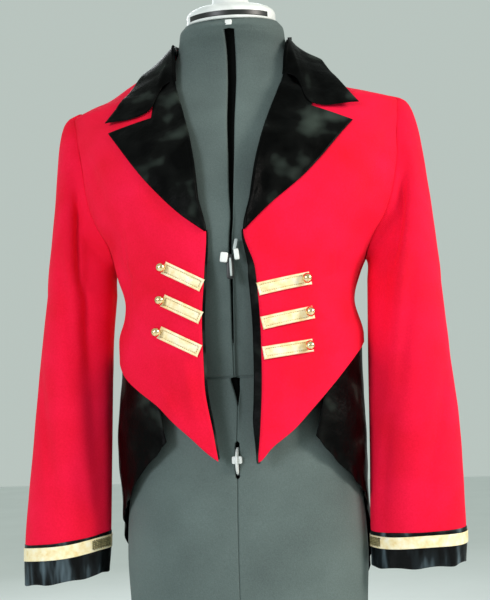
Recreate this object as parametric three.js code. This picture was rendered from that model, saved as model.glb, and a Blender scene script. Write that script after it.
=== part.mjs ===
import * as THREE from 'three';

// A ringmaster jacket worn on a limbless dress form.
// Millimetres, +Z up, the front faces -Y, the origin is on the floor under the pole.
// "left" and "right" are the wearer's own, so left is +X.
// Cloth is a thin wall: its outer face is a grid of points on rings, its inner face lies behind it.

// ---- Driving dimensions ----
const CLOTH = 1.6; // thickness of the red cloth with its facing
const SATIN = 1.2; // thickness of the satin trim
const SEAM_GAP = 0.3; // clearance between sewn pieces
const TRIM_LIFT = 1.1; // clearance of a trim over the faceted panel under it
const BREAK_Z = 941; // where the lapel roll starts
const ROLL_TOP_Z = 1156; // where the lapel roll meets the collar
const NECK_Z = 1212; // top of the shoulder seam
const UNDERARM_Z = 917; // lowest point of the armhole
const ARMHOLE_TOP_Z = 1131; // outer end of the shoulder seam
const BACK_NECK_Z = 1196; // neck seam at the centre back
const SLEEVE_HEAD_Z = 885; // below this the sleeve is a plain tube
const CUFF_HEIGHT = { right: 48, left: 41 };
const RIBBON_HEIGHT = { right: 15.5, left: 13.5 };
const RIBBON_DROP = { right: 3.5, left: 4.5 }; // black satin that shows above the cuff ribbon
const EDGE_TRIM = { right: 3.5, left: 10 }; // width of the satin edge along each front
const TAB = { width: 15, thickness: 1.4 };
const BUTTON_RADIUS = 6;
const TAIL_TUCK = 10; // how far the tail reaches up under the jacket's hem
const FORM_TOP_Z = 1240;
const NECK_LEAN = 12; // degrees by which the top of the form's neck tips forward
const NECK_LEAN_Z = 1210; // where that lean starts
const FORM_BOTTOM_Z = 436;
const POLE_RADIUS = 14;
const BASE = { radius: 190, height: 24, edge: 12 };

// ---- Tables: one row for each section ----
// Rings of the jacket's body: half-width, depth in front of and behind the middle, squareness.
// leftSide is the half-width on the left, where the shoulder lies lower.
const BODY_RINGS = [
  { z: 640, side: 150, leftSide: 150, front: 118, back: 108, square: 2.2 },
  { z: 765, side: 157, leftSide: 157, front: 114, back: 106, square: 2.2 },
  { z: 820, side: 158, leftSide: 158, front: 118, back: 103, square: 2.2 },
  { z: 866, side: 148, leftSide: 148, front: 122, back: 98, square: 2.2 },
  { z: 900, side: 158, leftSide: 157, front: 124, back: 102, square: 2.2 },
  { z: 941, side: 169, leftSide: 178, front: 126, back: 106, square: 2.2 },
  { z: 972, side: 186, leftSide: 198, front: 123, back: 112, square: 2.3 },
  { z: 1000, side: 197, leftSide: 209, front: 117, back: 117, square: 2.3 },
  { z: 1050, side: 207, leftSide: 218, front: 99, back: 121, square: 2.3 },
  { z: 1090, side: 215, leftSide: 219, front: 79, back: 115, square: 2.1 },
  { z: 1122, side: 217, leftSide: 215, front: 61, back: 98, square: 1.9 },
  { z: 1134, side: 198, leftSide: 182, front: 57, back: 92, square: 1.8 },
  { z: 1143, side: 174, leftSide: 152, front: 53, back: 86, square: 1.7 },
  { z: 1160, side: 147, leftSide: 127, front: 50, back: 76, square: 1.6 },
  { z: 1185, side: 107, leftSide: 98, front: 50, back: 67, square: 1.7 },
  { z: 1212, side: 76, leftSide: 75, front: 52, back: 62, square: 1.9 },
];
// Front edge and lapel roll, from the point at the hem up to the neck: distance from the middle.
const FRONT_EDGE = [
  { z: 671, right: 17, left: 31 },
  { z: 701, right: 22, left: 34 },
  { z: 765, right: 32, left: 38 },
  { z: 824, right: 32.5, left: 39 },
  { z: 894, right: 27, left: 35.5 },
  { z: 941, right: 23, left: 23 },
  { z: 985, right: 33, left: 33 },
  { z: 1027, right: 39, left: 39 },
  { z: 1070, right: 48, left: 48 },
  { z: 1100, right: 57, left: 56 },
  { z: 1156, right: 72, left: 71 },
  { z: 1185, right: 74, left: 73 },
  { z: 1212, right: 76, left: 75 },
];
// Height of the hem by the turn round the body, 0 at the centre front, 180 at the centre back.
const HEM = [
  { turn: 5, right: 671, left: 665 },
  { turn: 10, right: 682, left: 669 },
  { turn: 16, right: 697, left: 686 },
  { turn: 26, right: 719, left: 706 },
  { turn: 35, right: 739, left: 728 },
  { turn: 48, right: 757, left: 757 },
  { turn: 62, right: 774, left: 783 },
  { turn: 74, right: 790, left: 799 },
  { turn: 90, right: 803, left: 811 },
  { turn: 130, right: 804, left: 806 },
  { turn: 180, right: 800, left: 800 },
];
// Armhole, from the underarm (0) to the shoulder (1): height and turn of its front and back halves.
const ARMHOLE = [
  { along: 0, z: 917, front: 90, back: 90 },
  { along: 0.15, z: 924, front: 83, back: 98 },
  { along: 0.3, z: 948, front: 77, back: 104 },
  { along: 0.5, z: 1003, front: 73, back: 109 },
  { along: 0.7, z: 1062, front: 73, back: 109 },
  { along: 0.86, z: 1106, front: 77, back: 105 },
  { along: 1, z: 1131, front: 90, back: 90 },
];
// Outer edge of each lapel from the break point to its tip, as seen from the front.
const LAPEL_EDGE = [
  { along: 0, x: 24, rightZ: 943, leftZ: 943 },
  { along: 0.25, x: 54, rightZ: 966, leftZ: 972 },
  { along: 0.6, x: 96, rightZ: 1009, leftZ: 1009 },
  { along: 1, x: 155, rightZ: 1086, leftZ: 1083 },
];
// The collar by its sections, from the centre back (0) to its front end (1).
// neck is the place along the neck seam, 0 at the centre back, 1 at the shoulder, 2 at the lapel.
// roll is the fold at the top, fall and edge are on the turned-down leaf.
const COLLAR = [
  { along: 0, neck: 0, roll: [0, 68, 1224], fall: [0, 81, 1209], edge: [0, 91, 1170] },
  { along: 0.22, neck: 0.45, roll: [44, 57, 1225], fall: [55, 66, 1210], edge: [66, 74, 1173] },
  { along: 0.42, neck: 0.85, roll: [72, 24, 1222], fall: [84, 29, 1209], edge: [101, 33, 1183] },
  { along: 0.6, neck: 1.2, roll: [75, -6, 1215], fall: [90, -6, 1204], edge: [114, -6, 1181] },
  { along: 0.8, neck: 1.6, roll: [79, -30, 1190], fall: [96, -35, 1166], edge: [134, -30, 1150] },
  { along: 1, neck: 2, roll: [84, -45, 1150], fall: [105, -60, 1109], edge: [164, -60, 1098] },
];
const COLLAR_TIP_RISE = { left: 9, right: 1 };
// Sleeves below the head: where the inner and outer outlines stand, the middle and half of its depth.
const SLEEVES = {
  right: [
    { z: 885, inner: 165, outer: 254, middle: -1, depth: 58 },
    { z: 816, inner: 170, outer: 262, middle: -4, depth: 54 },
    { z: 685, inner: 172, outer: 276, middle: -10, depth: 44 },
    { z: 562, inner: 174, outer: 286, middle: -16, depth: 34 },
    { z: 533, inner: 177, outer: 284, middle: -18, depth: 31 },
  ],
  left: [
    { z: 885, inner: 165, outer: 258, middle: -2, depth: 57 },
    { z: 796, inner: 162, outer: 264, middle: -6, depth: 52 },
    { z: 674, inner: 159, outer: 272, middle: -14, depth: 42 },
    { z: 569, inner: 156, outer: 272, middle: -20, depth: 34 },
    { z: 536, inner: 156, outer: 269, middle: -22, depth: 31 },
  ],
};
const BUTTON_INSET = { right: 0, left: 6 }; // how far in from the ribbon's end each ball sits
const SLEEVE_HEAD_RISE = { right: 60, left: 32 }; // how squarely the sleeve leaves the shoulder
const SLEEVE_HEAD_FLAT = { right: 7, left: 4 }; // how much flatter it falls below the shoulder
const SLEEVE_HEM_DROP = { right: 15, left: -4 }; // how much lower the sleeve's outer side ends
const SLEEVE_FRONT_DROP = { right: 3, left: 1.5 }; // how much lower its front ends
// The largest fold of each sleeve: its place round the sleeve (0 inside, 90 front) at each height.
const SLEEVE_FOLD = [
  { z: 1060, round: 118, depth: 3 },
  { z: 960, round: 78, depth: 7 },
  { z: 860, round: 48, depth: 7 },
  { z: 740, round: 34, depth: 4 },
  { z: 620, round: 26, depth: 1 },
];
const SLEEVE_FOLD_WIDTH = 22; // degrees round the sleeve
// Soft folds of the fronts, as seen from the front: from one end to the other, depth and width.
const FRONT_FOLDS = [
  { x: 158, z: 965, toX: 134, toZ: 880, depth: 2.5, width: 14 },
  { x: 128, z: 830, toX: 70, toZ: 738, depth: 3, width: 17 },
  { x: 150, z: 850, toX: 108, toZ: 790, depth: 2, width: 14 },
];
// The loops of ribbon on the fronts, from the button to the inner end.
const TABS = {
  right: [
    { x: 76, z: 903, toX: 29, toZ: 878 },
    { x: 79, z: 864, toX: 32, toZ: 840 },
    { x: 85, z: 826, toX: 35, toZ: 801 },
  ],
  left: [
    { x: 97, z: 884, toX: 37, toZ: 871 },
    { x: 99, z: 843, toX: 40, toZ: 831 },
    { x: 98, z: 804, toX: 40, toZ: 796 },
  ],
};
// Rings of the tails, which hang inside the jacket's hem and spread over the hips.
// The left sleeve hangs closer, so the left tail stays narrower.
const TAIL_RINGS = [
  { z: 280, side: 157, leftSide: 154, front: 100, back: 130, square: 2.2 },
  { z: 400, side: 157, leftSide: 154, front: 100, back: 129, square: 2.2 },
  { z: 520, side: 156, leftSide: 154, front: 100, back: 128, square: 2.2 },
  { z: 596, side: 156, leftSide: 155, front: 101, back: 127, square: 2.2 },
  { z: 640, side: 159, leftSide: 155, front: 103, back: 122, square: 2.2 },
  { z: 694, side: 162, leftSide: 156, front: 108, back: 114, square: 2.2 },
  { z: 750, side: 158, leftSide: 155, front: 110, back: 104, square: 2.2 },
  { z: 830, side: 154, leftSide: 154, front: 114, back: 98, square: 2.2 },
];
// Lower edge of the tails by the share of the way from the front corner (0) to the back vent (1).
const TAIL_HEM = [
  { along: 0, right: 694, left: 697 },
  { along: 0.04, right: 678, left: 682 },
  { along: 0.1, right: 662, left: 664 },
  { along: 0.2, right: 628, left: 640 },
  { along: 0.32, right: 600, left: 615 },
  { along: 0.45, right: 560, left: 568 },
  { along: 0.62, right: 480, left: 484 },
  { along: 0.82, right: 380, left: 382 },
  { along: 1, right: 305, left: 305 },
];
// Where the front edge of each tail leaves the hem of the jacket, and where it ends below.
const TAIL_FRONT = { right: { top: 36, bottom: 29 }, left: { top: 45, bottom: 37 } };
const TAIL_FOLD = { count: 2.6, depth: 7 };
const TAIL_VENT = { top: 1.2, bottom: 9 }; // half-angle of the gap at the centre back, in degrees
// Rings of the dress form.
const FORM_RINGS = [
  { z: 436, side: 147, front: 98, back: 106, square: 2.2 },
  { z: 490, side: 149, front: 99, back: 109, square: 2.2 },
  { z: 550, side: 152, front: 100, back: 112, square: 2.2 },
  { z: 650, side: 146, front: 94, back: 104, square: 2.2 },
  { z: 770, side: 116, front: 82, back: 84, square: 2.1 },
  { z: 865, side: 125, front: 98, back: 86, square: 2.1 },
  { z: 941, side: 140, front: 117, back: 93, square: 2.1 },
  { z: 985, side: 150, front: 109, back: 100, square: 2.1 },
  { z: 1040, side: 164, front: 89, back: 104, square: 2.1 },
  { z: 1090, side: 171, front: 71, back: 98, square: 2 },
  { z: 1115, side: 168, front: 58, back: 88, square: 1.8 },
  { z: 1138, side: 147, front: 47, back: 80, square: 1.7 },
  { z: 1157, side: 122, front: 40, back: 72, square: 1.6 },
  { z: 1182, side: 92, front: 38, back: 62, square: 1.6 },
  { z: 1200, side: 74, front: 43, back: 57, square: 1.8 },
  { z: 1215, side: 71, front: 54, back: 57, square: 2 },
  { z: 1230, side: 69, front: 59, back: 59, square: 2 },
  { z: 1240, side: 62, front: 54, back: 54, square: 2 },
];
// Adjusters in the form's front slot: height above the floor, and size.
const UPPER_ADJUSTER = { x: 4, z: 906, width: 20, height: 34, depth: 6, corner: 5 };
const LOWER_ADJUSTER = { x: 2, z: 668, width: 7, height: 38, depth: 9 };
// Profile of the neck cap with its knob, from the middle of its underside outwards and up.
const CAP_PROFILE = [
  { radius: 0, z: 0 },
  { radius: 58, z: 0 },
  { radius: 59, z: 1.5 },
  { radius: 59, z: 11 },
  { radius: 55, z: 17 },
  { radius: 43, z: 22 },
  { radius: 25, z: 25 },
  { radius: 23, z: 38 },
  { radius: 19, z: 42 },
  { radius: 0, z: 42.5 },
];

const SIDES = { left: 1, right: -1 };
const QUARTER = Math.PI / 2;

// ---- Reading the tables ----

/** A smooth curve through a column of a table that never overshoots its rows. */
function curve(rows, by, name) {
  const ordered = [...rows].sort((a, b) => a[by] - b[by]);
  const at = ordered.map((row) => row[by]);
  const value = ordered.map((row) => row[name]);
  const rise = at.slice(1).map((end, k) => (value[k + 1] - value[k]) / (end - at[k]));
  const slope = at.map((_, k) => {
    if (k === 0) return rise[0];
    if (k === rise.length) return rise[k - 1];
    if (rise[k - 1] * rise[k] <= 0) return 0;
    return (2 * rise[k - 1] * rise[k]) / (rise[k - 1] + rise[k]);
  });
  return (where) => {
    const inside = THREE.MathUtils.clamp(where, at[0], at[at.length - 1]);
    let k = 0;
    while (k < at.length - 2 && inside > at[k + 1]) k += 1;
    const span = at[k + 1] - at[k];
    const t = (inside - at[k]) / span;
    const back = 1 - t;
    return value[k] * (1 + 2 * t) * back * back + value[k + 1] * (3 - 2 * t) * t * t
      + span * (slope[k] * t * back * back - slope[k + 1] * t * t * back);
  };
}

const ringCurves = (rows) => ({
  side: curve(rows, 'z', 'side'),
  leftSide: curve(rows, 'z', 'leftSide' in rows[0] ? 'leftSide' : 'side'),
  front: curve(rows, 'z', 'front'),
  back: curve(rows, 'z', 'back'),
  square: curve(rows, 'z', 'square'),
});

const body = ringCurves(BODY_RINGS);
const tailRings = ringCurves(TAIL_RINGS);
const formRings = ringCurves(FORM_RINGS);
const frontEdgeX = { left: curve(FRONT_EDGE, 'z', 'left'), right: curve(FRONT_EDGE, 'z', 'right') };
const armholeZ = curve(ARMHOLE, 'along', 'z');
const armholeTurn = { front: curve(ARMHOLE, 'along', 'front'), back: curve(ARMHOLE, 'along', 'back') };
const hemHeight = { left: curve(HEM, 'turn', 'left'), right: curve(HEM, 'turn', 'right') };
const mix = THREE.MathUtils.lerp;
const radians = THREE.MathUtils.degToRad;

// ---- Rings ----

/** A ring's half-width at a height, on the left (side 1) or the right (side -1). */
const halfWidth = (rings, side, z) => (side > 0 ? rings.leftSide(z) : rings.side(z));

/** The point of a ring at a turn (0 at the centre front, PI at the centre back) and height. */
function ringPoint(rings, side, turn, z) {
  const power = 2 / rings.square(z);
  const across = Math.abs(Math.sin(turn)) ** power;
  const deep = Math.abs(Math.cos(turn)) ** power;
  const depth = turn < QUARTER ? -rings.front(z) : rings.back(z);
  return new THREE.Vector3(side * halfWidth(rings, side, z) * across, depth * deep, z);
}

/** How far out of the rings a point lies: 1 on them, more outside. */
function reach(rings, point) {
  const square = rings.square(point.z);
  const depth = point.y < 0 ? rings.front(point.z) : rings.back(point.z);
  const width = halfWidth(rings, point.x, point.z);
  return ((Math.abs(point.x) / width) ** square + (Math.abs(point.y) / depth) ** square) ** (1 / square);
}

/** The direction straight out of the rings at a point, and how fast reach grows along it. */
function outward(rings, point) {
  const step = 0.25;
  const slope = new THREE.Vector3();
  for (const axis of ['x', 'y', 'z']) {
    const ahead = point.clone();
    const behind = point.clone();
    ahead[axis] += step;
    behind[axis] -= step;
    slope[axis] = (reach(rings, ahead) - reach(rings, behind)) / (2 * step);
  }
  const rate = slope.length();
  return { direction: slope.divideScalar(rate), rate };
}

const lifted = (rings, point, distance) =>
  point.clone().addScaledVector(outward(rings, point).direction, distance);

/** The point, pushed straight out where it is nearer to the jacket's body than the clearance. */
function clearOfBody(point, clearance) {
  const { direction, rate } = outward(body, point);
  const distance = (reach(body, point) - 1) / rate;
  return point.clone().addScaledVector(direction, Math.max(0, clearance - distance));
}

/** The turn at which the jacket's ring passes a distance from the middle. */
function turnAt(side, x, z) {
  return Math.asin(Math.min(1, x / halfWidth(body, side, z)) ** (body.square(z) / 2));
}

/** The height of the shoulder seam at a distance from the middle, found by halving. */
function shoulderZ(side, x) {
  let low = ARMHOLE_TOP_Z;
  let high = NECK_Z;
  for (let halving = 0; halving < 30; halving += 1) {
    const middle = (low + high) / 2;
    if (halfWidth(body, side, middle) > x) low = middle;
    else high = middle;
  }
  return low;
}

/** How deep the soft folds press into the front at a place seen from the front. */
function frontFold(x, z) {
  return FRONT_FOLDS.reduce((sum, fold) => {
    const run = new THREE.Vector2(fold.toX - fold.x, fold.toZ - fold.z);
    const from = new THREE.Vector2(Math.abs(x) - fold.x, z - fold.z);
    const along = from.dot(run) / run.lengthSq();
    const away = Math.abs(from.cross(run)) / run.length();
    const fade = Math.exp(-((2 * along - 1) ** 4));
    return sum + fold.depth * fade * Math.exp(-((away / fold.width) ** 2));
  }, 0);
}

/** A point of the jacket's front by its turn and height, raised by a lift. */
function frontPoint(side, turn, z, lift = 0) {
  const point = ringPoint(body, side, turn, z);
  return lifted(body, point, lift - frontFold(point.x, z));
}

/** A point of the jacket's front by its place seen from the front, raised by a lift. */
const frontAt = (side, x, z, lift) => frontPoint(side, turnAt(side, x, z), z, lift);

// ---- Solids ----

/** A closed wall between two grids of points; a ringed wall closes on itself along its rows. */
function wall(outer, inner, ringed = false) {
  const rows = outer.length;
  const columns = outer[0].length;
  const faces = [];
  const outside = (i, j) => i * columns + (j % columns);
  const inside = (i, j) => rows * columns + outside(i, j);
  const quad = (a, b, c, d) => faces.push(a, b, c, a, c, d);
  const lastColumn = ringed ? columns : columns - 1;
  const lastRow = rows - 1;
  for (let j = 0; j < lastColumn; j += 1) {
    for (let i = 0; i < lastRow; i += 1) {
      quad(outside(i, j), outside(i, j + 1), outside(i + 1, j + 1), outside(i + 1, j));
      quad(inside(i, j), inside(i + 1, j), inside(i + 1, j + 1), inside(i, j + 1));
    }
    quad(outside(0, j + 1), outside(0, j), inside(0, j), inside(0, j + 1));
    quad(outside(lastRow, j), outside(lastRow, j + 1), inside(lastRow, j + 1), inside(lastRow, j));
  }
  const end = lastColumn;
  for (let i = 0; i < lastRow && !ringed; i += 1) {
    quad(outside(i, 0), outside(i + 1, 0), inside(i + 1, 0), inside(i, 0));
    quad(outside(i + 1, end), outside(i, end), inside(i, end), inside(i + 1, end));
  }
  return solid([...outer.flat(), ...inner.flat()], faces);
}

/** A geometry from points and triangles, with its faces turned out. */
function solid(points, faces) {
  const corner = (k) => points[faces[k]];
  let volume = 0;
  for (let k = 0; k < faces.length; k += 3) {
    volume += corner(k).dot(corner(k + 1).clone().cross(corner(k + 2)));
  }
  const turned = volume < 0 ? [...faces].reverse() : faces;
  const geometry = new THREE.BufferGeometry().setFromPoints(points);
  geometry.setIndex(turned);
  geometry.computeVertexNormals();
  return geometry;
}

/** A grid of points from a function of two shares, (0..1, 0..1). */
function grid(rows, columns, at) {
  return Array.from({ length: rows + 1 }, (_, i) =>
    Array.from({ length: columns + 1 }, (__, j) => at(i / rows, j / columns)));
}

/** A wall on the rings: the place of each outer point is a turn and a height. */
function ringWall({ rows, columns }, outerAt, rings, thickness) {
  const outer = grid(rows, columns, outerAt);
  const inner = outer.map((row) => row.map((point) => lifted(rings, point, -thickness)));
  return wall(outer, inner);
}

/**
 * A patch between four edges, each a function of a share that gives { turn, z }.
 * It is the plain patch between its corners, and each edge's own bend fades out away from it.
 */
function patch({ bottom, top, near, far }) {
  const fade = 3; // how quickly the bends of the bottom and top die away
  const blend = (name, up, across) => {
    const low = mix(near(0)[name], far(0)[name], across);
    const high = mix(near(1)[name], far(1)[name], across);
    const nearBend = near(up)[name] - mix(near(0)[name], near(1)[name], up);
    const farBend = far(up)[name] - mix(far(0)[name], far(1)[name], up);
    return mix(low, high, up) + mix(nearBend, farBend, across)
      + (bottom(across)[name] - low) * (1 - up) ** fade + (top(across)[name] - high) * up ** fade;
  };
  return (up, across) => ({ turn: blend('turn', up, across), z: blend('z', up, across) });
}

// ---- Materials ----

const finish = (color, roughness, metalness = 0) =>
  new THREE.MeshStandardMaterial({ color, roughness, metalness });
const redCotton = () => finish(0xe8002e, 0.85);
const blackSatin = () => finish(0x0d0d10, 0.35);
const goldRibbon = () => finish(0xd9b86a, 0.35, 0.8);
const goldMetal = () => finish(0xe0b860, 0.2, 1);
const greyForm = () => finish(0x66716d, 0.95);
const whitePlastic = () => finish(0xe6e8e6, 0.4);
const paintedSteel = () => finish(0x2b2d30, 0.45, 0.3);

function piece(name, geometry, material) {
  const mesh = new THREE.Mesh(geometry, material);
  mesh.name = name;
  return mesh;
}

// ---- Jacket body ----

// Rows and columns of the panels' grids. The armhole's rows match the steps round a sleeve.
const ARMHOLE_ROWS = 9;
const FRONT_GRID = { rows: 20, columns: 11 };
const BACK_GRID = { rows: 16, columns: 10 };
const SEAM_SHIFT = SEAM_GAP / 2 + 0.05;
const ARMHOLE_SHIFT = SEAM_GAP + 2 * SEAM_SHIFT;

/** The front edge, from the point at the hem through the break point to the neck. */
function frontEdge(name, share) {
  const z = share < 0.5
    ? mix(hemHeight[name](0), BREAK_Z, share * 2)
    : mix(BREAK_Z, NECK_Z, share * 2 - 1);
  return { turn: turnAt(SIDES[name], frontEdgeX[name](z), z), z };
}

/** The side seam and then the front or back half of the armhole. */
function sideEdge(half, hemZ, rows) {
  const sideShare = 1 - ARMHOLE_ROWS / rows;
  return (share) => {
    if (share < sideShare) return { turn: QUARTER, z: mix(hemZ, UNDERARM_Z, share / sideShare) };
    const along = (share - sideShare) / (1 - sideShare);
    return { turn: radians(armholeTurn[half](along)), z: armholeZ(along) };
  };
}

function frontPanel(name) {
  const side = SIDES[name];
  const hem = hemHeight[name];
  const firstTurn = frontEdge(name, 0).turn;
  const at = patch({
    near: (share) => frontEdge(name, share),
    far: sideEdge('front', hem(90), FRONT_GRID.rows),
    bottom: (across) => {
      const turn = mix(firstTurn, QUARTER, across);
      return { turn, z: hem(THREE.MathUtils.radToDeg(turn)) };
    },
    top: (across) => shoulderSeam(side, across),
  });
  const seam = new THREE.Vector3(0, -SEAM_SHIFT, 0);
  const outerAt = (up, across) => {
    const place = at(up, across);
    return frontPoint(side, place.turn, place.z).add(seam);
  };
  return piece(`front_${name}`, ringWall(FRONT_GRID, outerAt, body, CLOTH), redCotton());
}

/** The shoulder seam, from the neck outwards. */
function shoulderSeam(side, across) {
  const x = mix(halfWidth(body, side, NECK_Z), halfWidth(body, side, ARMHOLE_TOP_Z), across);
  return { turn: QUARTER, z: shoulderZ(side, x) };
}

/** The neck seam of the back and then the shoulder seam, from the centre back outwards. */
function backTop(side, across) {
  const neckShare = 0.35;
  if (across < neckShare) {
    const share = across / neckShare;
    return { turn: mix(Math.PI, QUARTER, share), z: mix(BACK_NECK_Z, NECK_Z, share * share) };
  }
  return shoulderSeam(side, (across - neckShare) / (1 - neckShare));
}

function backPanel(name) {
  const side = SIDES[name];
  const hem = hemHeight[name];
  const at = patch({
    near: (share) => ({ turn: Math.PI, z: mix(hem(180), BACK_NECK_Z, share) }),
    far: sideEdge('back', hem(90), BACK_GRID.rows),
    bottom: (across) => {
      const turn = mix(Math.PI, QUARTER, across);
      return { turn, z: hem(THREE.MathUtils.radToDeg(turn)) };
    },
    top: (across) => backTop(side, across),
  });
  const seam = new THREE.Vector3(side * SEAM_SHIFT, SEAM_SHIFT, 0);
  const outerAt = (up, across) => {
    const place = at(up, across);
    return ringPoint(body, side, place.turn, place.z).add(seam);
  };
  return piece(`back_${name}`, ringWall(BACK_GRID, outerAt, body, CLOTH), redCotton());
}

/** The narrow satin edge that shows along the front, below the lapel. */
function edgeTrim(name) {
  const side = SIDES[name];
  const outerAt = (up, across) => {
    const { z } = frontEdge(name, up / 2);
    const x = frontEdgeX[name](z) - 2 * SEAM_GAP - EDGE_TRIM[name] * (1 - across);
    return frontAt(side, x, z, 0).add(new THREE.Vector3(0, -SEAM_SHIFT, 0));
  };
  const size = { rows: FRONT_GRID.rows / 2, columns: 1 };
  return piece(`edge_trim_${name}`, ringWall(size, outerAt, body, SATIN), blackSatin());
}

// ---- Lapels, collar, tabs ----

function lapel(name) {
  const side = SIDES[name];
  const edgeX = curve(LAPEL_EDGE, 'along', 'x');
  const edgeZ = curve(LAPEL_EDGE, 'along', `${name}Z`);
  const gorge = { x: -11, z: -14 }; // how far the notch pulls the top edge in from a straight line
  const outerAt = (up, across) => {
    const rollZ = mix(BREAK_Z + 2, ROLL_TOP_Z - 6, up);
    const bend = up ** 4 * (1 - Math.abs(2 * across - 1));
    const x = mix(frontEdgeX[name](rollZ) + 0.6, edgeX(up), across) + bend * gorge.x;
    const z = mix(rollZ, edgeZ(up), across) + bend * gorge.z;
    const roll = 3 * (1 - across) ** 3 * Math.min(1, 4 * up);
    return frontAt(side, x, z, TRIM_LIFT + SATIN + roll);
  };
  return piece(`lapel_${name}`, ringWall({ rows: 10, columns: 4 }, outerAt, body, SATIN), blackSatin());
}

/** A point over the neck seam: 0 at the centre back, 1 at the shoulder, 2 where the lapel starts. */
function neckSeam(name, place) {
  const side = SIDES[name];
  const onBack = place < 1;
  const z = onBack ? mix(BACK_NECK_Z, NECK_Z, place * place) : mix(NECK_Z, ROLL_TOP_Z, place - 1);
  const turn = onBack ? mix(Math.PI, QUARTER, place) : turnAt(side, frontEdgeX[name](z), z);
  return lifted(body, ringPoint(body, side, turn, z), TRIM_LIFT + SATIN);
}

/** The outer face of the collar: from the neck seam up to the roll, then down the leaf to its edge. */
function collar() {
  const neckPlace = curve(COLLAR, 'along', 'neck');
  const leaf = ['roll', 'fall', 'edge'].map((column) => [0, 1, 2].map((axis) =>
    curve(COLLAR.map((row) => ({ along: row.along, value: row[column][axis] })), 'along', 'value')));
  const section = (signed) => {
    const name = signed < 0 ? 'right' : 'left';
    const along = Math.abs(signed);
    const knots = leaf.map((axes) => {
      const [x, y, z] = axes.map((axis) => axis(along));
      return new THREE.Vector3(SIDES[name] * x, y, z);
    });
    knots[2].z += COLLAR_TIP_RISE[name] * along ** 3;
    return new THREE.CatmullRomCurve3([neckSeam(name, neckPlace(along)), ...knots], false, 'centripetal');
  };
  const outer = grid(20, 6, (run, down) =>
    clearOfBody(section(2 * run - 1).getPoint(down), TRIM_LIFT + CLOTH));
  return piece('collar', wall(outer, offsetGrid(outer, SATIN)), blackSatin());
}

/** The grid moved a distance against its own normals; ringed grids close along their rows. */
function offsetGrid(outer, distance, ringed = false) {
  const rows = outer.length;
  const columns = outer[0].length;
  const clampRow = (i) => THREE.MathUtils.clamp(i, 0, rows - 1);
  const pickColumn = (j) => (ringed
    ? (j + columns) % columns
    : THREE.MathUtils.clamp(j, 0, columns - 1));
  return outer.map((row, i) => row.map((point, j) => {
    const up = outer[clampRow(i + 1)][j].clone().sub(outer[clampRow(i - 1)][j]);
    const across = row[pickColumn(j + 1)].clone().sub(row[pickColumn(j - 1)]);
    return point.clone().addScaledVector(across.cross(up).normalize(), -distance);
  }));
}

/** A loop of ribbon laid on the front, from its button to its inner end. */
function tab(name, row, number) {
  const side = SIDES[name];
  const run = new THREE.Vector2(row.toX - row.x, row.toZ - row.z);
  const sideways = new THREE.Vector2(-run.y, run.x).normalize().multiplyScalar(TAB.width / 2);
  const outerAt = (along, across) => {
    const spread = 2 * across - 1;
    const x = row.x + run.x * along + sideways.x * spread;
    const z = row.z + run.y * along + sideways.y * spread;
    return frontAt(side, x, z, TRIM_LIFT + TAB.thickness);
  };
  const strip = ringWall({ rows: 5, columns: 1 }, outerAt, body, TAB.thickness);
  return piece(`tab_${name}_${number}`, strip, goldRibbon());
}

function button(name, row, number) {
  const mesh = piece(`button_${name}_${number}`, new THREE.SphereGeometry(BUTTON_RADIUS, 12, 8), goldMetal());
  const height = TRIM_LIFT + TAB.thickness + SEAM_GAP + BUTTON_RADIUS;
  mesh.position.copy(frontAt(SIDES[name], row.x - BUTTON_INSET[name], row.z, height));
  mesh.rotation.x = QUARTER;
  return mesh;
}

// ---- Sleeves and cuffs ----

const FLAT_PEAK = 0.6 ** 3 * 0.4 ** 2; // the most of share^3 (1 - share)^2

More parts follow.
